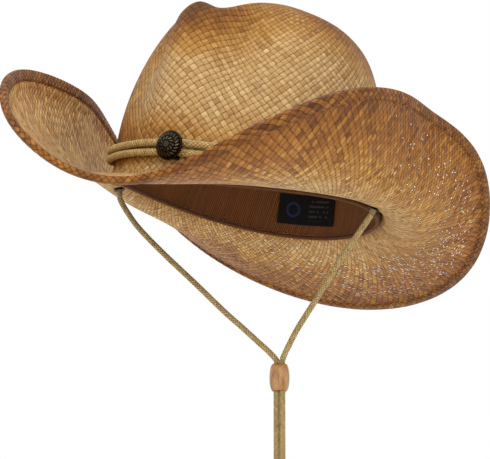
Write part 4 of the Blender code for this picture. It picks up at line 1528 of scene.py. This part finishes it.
@dataclass
class Wrap:
    """A tied knot: a lobed lump of cord, turned round an axis."""

    name: str
    profile: tuple                      # (radius, height) from the top down
    wraps: int
    lean: float                         # how far a wrap travels round over its height
    depth: float                        # hollow between wraps, of the radius
    steps: int = 48
    rows: int = 40
    strand: float = 1.2                 # strand spacing in the finish

    def build(self, place: Matrix, finish: bpy.types.Material) -> bpy.types.Object:
        """Build the knot.

        Args:
            place: where its origin and Z axis go, in millimetres.
            finish: the cord's material.

        Returns:
            The knot.
        """
        known = np.array(self.profile, float)
        run = np.append(0, np.cumsum(np.linalg.norm(np.diff(known, axis=0), axis=1)))
        at = np.linspace(0, run[-1], self.rows)
        radius, height = (np.interp(at, run, known[:, k]) for k in (0, 1))
        spin = spins(self.steps)
        tall = abs(known[-1, 1] - known[0, 1])
        lean = self.lean * math.tau * (height / tall)
        phase = self.wraps * spin[None, :] + lean[:, None]
        groove = 1 - self.depth * (0.5 - 0.5 * np.cos(phase)) ** 3
        grid = np.stack([radius[:, None] * groove * np.cos(spin),
                         radius[:, None] * groove * np.sin(spin),
                         height[:, None] + 0 * groove], axis=-1)
        quads = loft(self.rows, self.steps, False, True)
        points = grid.reshape(-1, 3)
        count = 2 * round(math.tau * radius.max() / self.strand / 2)
        around = np.arange(self.steps + 1) * count / self.steps
        uv = loft_counts(quads, self.steps, at / self.strand, around)[..., ::-1]
        faces, uv, flipped = face_out(points, quads, uv, points.mean(axis=0))
        rows = np.concatenate([uv, np.zeros((2 * self.steps, 2))])
        caps = [list(range(self.steps)),
                list(range((self.rows - 1) * self.steps, self.rows * self.steps))]
        caps[1 if flipped else 0].reverse()
        return mesh_piece(self.name, placed(points, place), faces + caps, finish,
                          rows, 80.0)


def aimed(origin: Vector, axis: Vector) -> Matrix:
    """Matrix that puts Z along an axis at an origin."""
    turn = Vector(axis).to_track_quat("Z", "Y").to_matrix().to_4x4()
    return Matrix.Translation(Vector(origin)) @ turn


@dataclass
class HatBand:
    """Two braided cords round the crown, with a metal ornament at the front."""

    form: Form
    cord: float = 4.9
    heights: tuple[float, float] = (10.7, 16.9)
    squeeze: float = 0.14               # share by which the cords close up at the sides
    lift: float = 5.5
    lift_spread: float = 20.0
    ornament_angle: float = -3.8
    radius: float = 9.25
    dome: float = 4.6
    strap: float = 1.0
    fit: float = 1.0                    # from the strap to the ornament's back
    clear: float = 0.5                  # from the straw to the cords
    room: float = 2.6                   # further out at the ornament
    room_spread: float = 8.0
    stations: int = 240
    steps: int = 160
    cut: float = 0.4                    # depth of the ornament's cuts
    # Two rings of long slanted cuts and a beaded rim: from, to, count, slant.
    rings: tuple = ((0.26, 0.56, 11, 1.3), (0.58, 0.86, 19, -1.6),
                    (0.9, 0.985, 44, 0.0))

    def ring(self, angles: np.ndarray, height: float) -> np.ndarray:
        """Centre line of one cord.

        Args:
            angles: stations in degrees.
            height: centre height at mid-quarter.

        Returns:
            Points in millimetres.
        """
        t = np.radians(angles)
        middle = sum(self.heights) / 2
        apart = (height - middle) * (1 - self.squeeze * np.sin(t) ** 2)
        level = middle + apart - np.cos(2 * t)
        level = level + self.lift * hump(np.abs(angles), 86.0, self.lift_spread)
        wall = np.concatenate([self.form.turn_up(angles, np.linspace(0, 1, 9)),
                               self.form.wall(angles, np.linspace(0.02, 0.3, 9))],
                              axis=1)
        reach = np.array([-0.5, 0.5]) * self.cord
        radius = np.array([np.interp(z + reach, row[:, 1], row[:, 0]).max()
                           for z, row in zip(level, wall)])
        stand = self.room * hump(angles, self.ornament_angle, self.room_spread)
        radius = radius + self.form.straw + self.cord / 2 + self.clear + stand
        section = np.stack([radius, level], axis=1)
        return self.form.around(angles, section[:, None, :])[:, 0]

    def build(self, finishes: Finishes) -> list[bpy.types.Object]:
        """Build and dress both cords and the ornament.

        Args:
            finishes: the hat's finishes.

        Returns:
            The pieces.
        """
        angles = stations(self.stations)
        made = []
        for word, height in zip(("lower", "upper"), self.heights):
            braid = Braid(f"band_braid_{word}", self.cord, sides=24, grain=5.0)
            cord = braid.lay(self.ring(angles, height), True, finishes.khaki)
            made.append(put(cord, Body.HAT, "khaki_braid", f"hatband_cord_{word}"))
        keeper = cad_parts["concho_keeper"]
        keeper.data.materials[0] = finishes.brass
        made.append(self.ornament(finishes))
        return made

    def ornament(self, finishes: Finishes) -> bpy.types.Object:
        """Build the domed ornament, cast with rings of short slanted cuts.

        Args:
            finishes: the hat's finishes.

        Returns:
            The ornament.
        """
        r, h = self.radius, self.dome
        known = np.array([(0, h), (0.3 * r, 0.95 * h), (0.58 * r, 0.78 * h),
                          (0.8 * r, 0.5 * h), (0.94 * r, 0.24 * h), (r, 0.1 * h),
                          (0.97 * r, 0.0), (0.0, 0.0)])
        face = np.linspace(0.0, 0.985, 44)
        height = np.interp(face * r, known[:6, 0], known[:6, 1])
        steps = self.steps
        spin = spins(steps)
        slant = np.zeros((len(face), steps))
        for low, high, count, lean in self.rings:
            part = (face - low) / (high - low)
            inside = np.clip(np.sin(np.pi * np.clip(part, 0, 1)) * 2.2, 0, 1)
            turn = lean * (part[:, None] - 0.5) * math.pi
            wave = np.cos(count * spin[None, :] + turn)
            slant += inside[:, None] * (1 - (0.5 - 0.5 * wave) ** 2)
        boss = (1 - smoothstep(0.2, 0.25, face))[:, None]
        raised = np.clip(slant + boss, 0, 1)
        level = height[:, None] - self.cut * (1 - raised)
        # The face's rows, then the rim, the back and the back's middle.
        rows = [(f * r, z) for f, z in zip(face[1:], level[1:])]
        rows += [(r, np.full(steps, 0.1 * h)), (0.97 * r, np.zeros(steps)),
                 (0.2 * r, np.zeros(steps))]
        grid = np.array([np.stack([reach * np.cos(spin), reach * np.sin(spin), z],
                                  axis=-1) for reach, z in rows])
        points = np.concatenate([grid.reshape(-1, 3), [[0, 0, h], [0, 0, 0]]])
        faces = loft(len(grid), steps, False, True).tolist()
        count = len(grid) * steps
        low = count - steps
        for k in range(steps):
            m = (k + 1) % steps
            faces.append([m, k, count])
            faces.append([low + k, low + m, count + 1])
        middle = self.ring(np.array([self.ornament_angle]), sum(self.heights) / 2)[0]
        turn = math.radians(self.ornament_angle)
        way = Vector((math.sin(turn) / self.form.half_width,
                      -math.cos(turn) / self.form.half_length, 0)).normalized()
        start = Vector(middle) + way * (self.cord / 2 + self.strap + self.fit)
        moved = placed(points, aimed(start, way))
        faces = outward(moved, faces, np.array(start) + 1.5 * np.array(way))
        piece = mesh_piece("cast_concho", moved, faces, finishes.brass, None, 35.0)
        mark(piece, "height", np.concatenate([
            raised[1:].ravel(), np.full(steps, 0.8), np.zeros(2 * steps), [1.0, 0.0]]))
        return put(piece, Body.HAT, "antique_brass", "concho_dome")


@dataclass
class ChinCord:
    """Cord that hangs from two eyelets through a wooden bead to a knot."""

    form: Form
    cord: float = 3.9
    eyelet_x: float = 91.0
    eyelet_y: float = -8.0
    eyelet_tilt: float = 16.0
    drop: float = 3.4                   # swing axis below the straw
    knot: float = 3.4
    split: float = 2.0                  # from the tail's middle to each cord's middle
    lean: float = 0.165
    bead_centre: tuple[float, float] = (44.0, -110.6)
    bead_half: float = 8.5
    bead_radius: float = 6.3
    bead_bore: float = 8.3
    bead_steps: int = 64
    egg: float = 0.98                   # how far the bead's ends close to the bore
    tail_knot: float = 6.0
    knot_tall: float = 9.8
    knot_gap: float = 0.35              # between the knot and what meets it
    end: float = 15.0
    # Routes in the plane of the two eyelets: x, z.
    right: tuple = ((-88.4, -6), (-82.0, -13.5), (-71.5, -23.5), (-51, -38.5),
                    (-25, -56), (-1, -72.5), (14, -82), (25.5, -89.5), (34, -95))
    left: tuple = ((88.2, -5.5), (83.0, -15), (74.5, -30), (66.5, -47.5),
                   (58, -65), (51.2, -79), (47, -90))
    tail: tuple = ((42.2, -99.8), (43.0, -104.5), (44.0, -110.6), (46.6, -126.4),
                   (49.2, -142), (51.8, -157.6), (53.7, -170), (55.2, -184),
                   (55.8, -197))

    def eyelet(self, side: Side) -> tuple[Vector, Vector]:
        """Point on the inner skin at an eyelet, and the hole's upward axis.

        Args:
            side: which eyelet.

        Returns:
            The point and the axis.
        """
        angles = np.array([math.degrees(math.atan2(self.eyelet_x, -self.eyelet_y))])
        line = np.concatenate([self.form.brim(angles, np.linspace(0.8, 0.99, 9)),
                               self.form.turn_up(angles, np.linspace(0, 1, 17))],
                              axis=1)[0]
        radius = math.hypot(self.eyelet_x, self.eyelet_y)
        height = float(np.interp(-radius, -line[:, 0], line[:, 1]))
        tilt = math.radians(self.eyelet_tilt)
        axis = Vector((side.value * math.sin(tilt), 0, math.cos(tilt)))
        return Vector((side.value * self.eyelet_x, self.eyelet_y, height)), axis

    def hinge(self, side: Side) -> Vector:
        """Where a strand starts, on the swing axis below its eyelet."""
        point, axis = self.eyelet(side)
        return Vector((point.x - axis.x * self.drop, self.eyelet_y,
                       point.z - self.drop))

    def route(self, side: Side) -> np.ndarray:
        """Centre line of one strand, from the swing axis to the tail knot.

        Args:
            side: which strand.

        Returns:
            Points in millimetres.
        """
        tail = np.array(self.tail)
        aim = unit(np.gradient(tail, axis=0))
        across = np.stack([-aim[:, 1], aim[:, 0]], axis=1)
        start = self.hinge(side)
        strand = self.left if side is Side.LEFT else self.right
        p = np.array([(start.x, start.z), *strand,
                      *(tail + side.value * self.split * across)], float)
        # A smooth curve through the points, with one more beyond each end.
        ghost = np.vstack([2 * p[0] - p[1], p, 2 * p[-1] - p[-2]])
        fine = []
        for i in range(1, len(ghost) - 2):
            a, b, c, d = ghost[i - 1:i + 3]
            for t in np.linspace(0, 1, 16, endpoint=False):
                fine.append(0.5 * (2 * b + (c - a) * t
                                   + (2 * a - 5 * b + 4 * c - d) * t ** 2
                                   + (3 * b - a - 3 * c + d) * t ** 3))
        fine.append(p[-1])
        flat = np.array(fine)
        return np.stack([flat[:, 0], np.full(len(flat), self.eyelet_y), flat[:, 1]],
                        axis=1)

    def tail_frame(self) -> tuple[Vector, Vector]:
        """Where the tail ends.

        Returns:
            Its last point, and the direction that it leaves it in.
        """
        end = Vector((self.tail[-1][0], self.eyelet_y, self.tail[-1][1]))
        before = Vector((self.tail[-2][0], self.eyelet_y, self.tail[-2][1]))
        return end, (end - before).normalized()

    def build(self, finishes: Finishes) -> list[bpy.types.Object]:
        """Build and dress the strands, knots, eyelets and bead.

        Args:
            finishes: the hat's finishes.

        Returns:
            The pieces.
        """
        end, down = self.tail_frame()
        k = self.tail_knot
        lump = ((0.3, 0), (0.72 * k, -0.1), (0.95 * k, -1.6), (k, -4.2),
                (0.92 * k, -7.2), (0.7 * k, -9.4), (0.3, -self.knot_tall))
        knot = Wrap("tail_knot_tied", lump, 3, 0.6, 0.22).build(
            aimed(end + down * self.knot_gap, -down), finishes.olive)
        put(knot, Body.CHIN_CORD, "olive_braid", "tail_knot")
        bead = put(self.bead(finishes), Body.BEAD, "turned_wood", "slide_bead")
        ends = [self.loose_end(side, finishes) for side in Side]
        strands = []
        for side in Side:
            route = self.route(side)
            piece = Braid(f"chin_braid_{side.word}", self.cord).lay(
                route, False, finishes.olive)
            put(piece, Body.CHIN_CORD, "olive_braid", f"chin_cord_{side.word}")
            tuple(self.hinge(side) * MM)
            strands.append(piece)
            self.stopper(side, finishes)
            for node in (f"eyelet_{side.word}", f"eyelet_washer_{side.word}"):
                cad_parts[node].data.materials[0] = finishes.brass
        return [knot, bead, *ends, *strands]

    def stopper(self, side: Side, finishes: Finishes) -> bpy.types.Object:
        """Build the knot above the brim and the cord down through the eyelet.

        Args:
            side: which eyelet.
            finishes: the hat's finishes.

        Returns:
            The knot.
        """
        r, k = self.cord / 2, self.knot
        base = self.form.straw + 2.4
        profile = ((0.3, base + 5.6), (0.55 * k, base + 5.2), (0.9 * k, base + 4.0),
                   (k, base + 2.6), (0.85 * k, base + 1.0), (r, base + 0.3),
                   (r, -self.drop), (0.8 * r, -self.drop - 0.9),
                   (0.3, -self.drop - 1.5))
        point, axis = self.eyelet(side)
        knot = Wrap(f"stopper_knot_tied_{side.word}", profile, 3, 0.8, 0.16).build(
            aimed(point, axis), finishes.olive)
        return put(knot, Body.HAT, "olive_braid", f"stopper_knot_{side.word}")

    def loose_end(self, side: Side, finishes: Finishes) -> bpy.types.Object:
        """Build one strand's short end below the tail knot.

        Args:
            side: which strand.
            finishes: the hat's finishes.

        Returns:
            The end.
        """
        end, down = self.tail_frame()
        start = end + down * (self.knot_gap + self.knot_tall + self.knot_gap)
        points = []
        for run in np.linspace(0, 1, 9):
            spread = side.value * (self.split + 1.6 * run ** 1.5)
            points.append(start + down * self.end * run + Vector((spread, 0, 0)))
        piece = Braid(f"cord_tip_{side.word}", self.cord).lay(
            np.array(points), False, finishes.olive)
        return put(piece, Body.CHIN_CORD, "olive_braid", f"cord_end_{side.word}")

    def bead(self, finishes: Finishes) -> bpy.types.Object:
        """Turn the egg-shaped bead.

        Args:
            finishes: the hat's finishes.

        Returns:
            The bead.
        """
        bore, half = self.bead_bore / 2, self.bead_half
        rows = []
        for z in np.cos(np.linspace(0, math.pi, 25)) * half:
            swell = math.sqrt(max(0.0, 1 - (z / half) ** 2 * self.egg))
            rows.append((bore + (self.bead_radius - bore) * swell, z))
        rows += [(bore + 0.35, -half + 0.02), (bore, -half + 0.35), (bore, 0.0),
                 (bore, half - 0.35), (bore + 0.35, half - 0.02)]
        steps = self.bead_steps
        spin = spins(steps)
        points = np.array([(r * math.cos(s), r * math.sin(s), z)
                           for r, z in rows for s in spin])
        x, z = self.bead_centre
        down = Vector((self.lean, 0.0, -1.0)).normalized()
        quads = loft(len(rows), steps, True, True)
        wall = 0.5 * (bore + self.bead_radius)
        inside = np.array([[wall * math.cos(s), wall * math.sin(s), 0] for s in spin])
        faces = outward(points, quads.tolist(), inside[quads[:, 0] % steps])
        moved = placed(points, aimed(Vector((x, self.eyelet_y, z)), -down))
        return mesh_piece("wooden_bead", moved, faces, finishes.wood, None, 40.0)


# ---- camera, floor and light ------------------------------------------------

@dataclass(frozen=True)
class Studio:
    """Pale floor, soft light and the camera."""

    azimuth: float = 25.84
    elevation: float = -9.33
    roll: float = 8.8
    distance: float = 1.5
    lens: float = 170.8
    shift: tuple[float, float] = (-0.0063, -0.0532)
    floor: float = -0.262               # height of the floor in metres
    floor_half: float = 4.0
    # Name, place in metres, watts, side in metres and colour.
    lamps: tuple = (("key", (-0.9, -1.5, 1.7), 17.0, 1.1, "#fff6ea"),
                    ("fill", (1.0, -1.7, 0.35), 13.0, 1.0, "#fff3e2"),
                    ("top", (0.5, 0.5, 1.9), 12.0, 1.4, "#ffffff"))

    def camera(self) -> None:
        """Place the camera."""
        az, el, roll = map(math.radians, (self.azimuth, self.elevation, self.roll))
        right = Vector((math.cos(az), math.sin(az), 0))
        ahead = Vector((-math.sin(az) * math.cos(el), math.cos(az) * math.cos(el),
                        -math.sin(el)))
        up = right.cross(ahead)
        tilted_right = right * math.cos(roll) + up * math.sin(roll)
        tilted_up = up * math.cos(roll) - right * math.sin(roll)
        data = bpy.data.cameras.new("camera")
        data.sensor_width = 36.0
        data.lens = self.lens
        data.shift_x, data.shift_y = self.shift
        data.clip_end = 50.0
        eye = bpy.data.objects.new("camera", data)
        bpy.context.scene.collection.objects.link(eye)
        turn = Matrix((tilted_right, tilted_up, -ahead)).transposed().to_4x4()
        eye.matrix_world = Matrix.Translation(-ahead * self.distance) @ turn
        bpy.context.scene.camera = eye

    def lamp(self, name: str, place: tuple, power: float, size: float,
             tint: str) -> None:
        """Add a soft square lamp that looks at the hat.

        Args:
            name: the lamp's name.
            place: where it stands, in metres.
            power: watts.
            size: side in metres.
            tint: its colour.
        """
        data = bpy.data.lights.new(name, "AREA")
        data.energy = power
        data.size = size
        data.color = rgb(tint)[:3]
        made = bpy.data.objects.new(name, data)
        bpy.context.scene.collection.objects.link(made)
        made.matrix_world = aimed(Vector(place), Vector(place))

    def build(self) -> None:
        """Build the floor, the light and the camera."""
        self.camera()
        made, t = new_material("pale_floor")
        place = add(t, "TexCoord").outputs["Object"]
        cloud = add(t, "TexNoise", {"Vector": place, "Scale": 3.0, "Detail": 2.0})
        tone = add(t, "ValToRGB", {0: cloud},
                   stops=((0.2, "#ececea"), (0.9, "#f4f4f2")))
        finish_off(t, add(t, "BsdfPrincipled", {"Base Color": tone, "Roughness": 0.7}))
        far = self.floor_half / MM
        corners = [(x * far, y * far, self.floor / MM)
                   for x, y in ((-1, -1), (1, -1), (1, 1), (-1, 1))]
        ground = mesh_piece("floor", np.array(corners), [[0, 1, 2, 3]], made)
        world = bpy.data.worlds.new("soft_room")
        bpy.context.scene.world = world
        world.use_nodes = True
        back = world.node_tree.nodes["Background"]
        back.inputs["Color"].default_value = rgb("#ffffff")
        back.inputs["Strength"].default_value = 1.0
        for lamp in self.lamps:
            self.lamp(*lamp)
        bpy.context.scene.view_settings.view_transform = "Standard"


def main() -> None:
    """Build the hat piece by piece."""
    logging.basicConfig(level=logging.INFO, format="%(message)s")
    Studio().build()
    form, weave = Form(), Weave()
    finishes = Finishes.make(weave)
    made = ChinCord(form).build(finishes)
    made.append(StrawShell(form, weave).build(finishes))
    made.append(BrimEdge(form, weave).build(finishes))
    made += Sweatband(form).build(finishes)
    made += HatBand(form).build(finishes)
    for node in ("brim_wire", "wire_ferrule"):
        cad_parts[node].data.materials[0] = finishes.steel
    for piece in made:
        LOG.info("%s: %d faces", piece.name, len(piece.data.polygons))


if __name__ == "__main__":
    main()
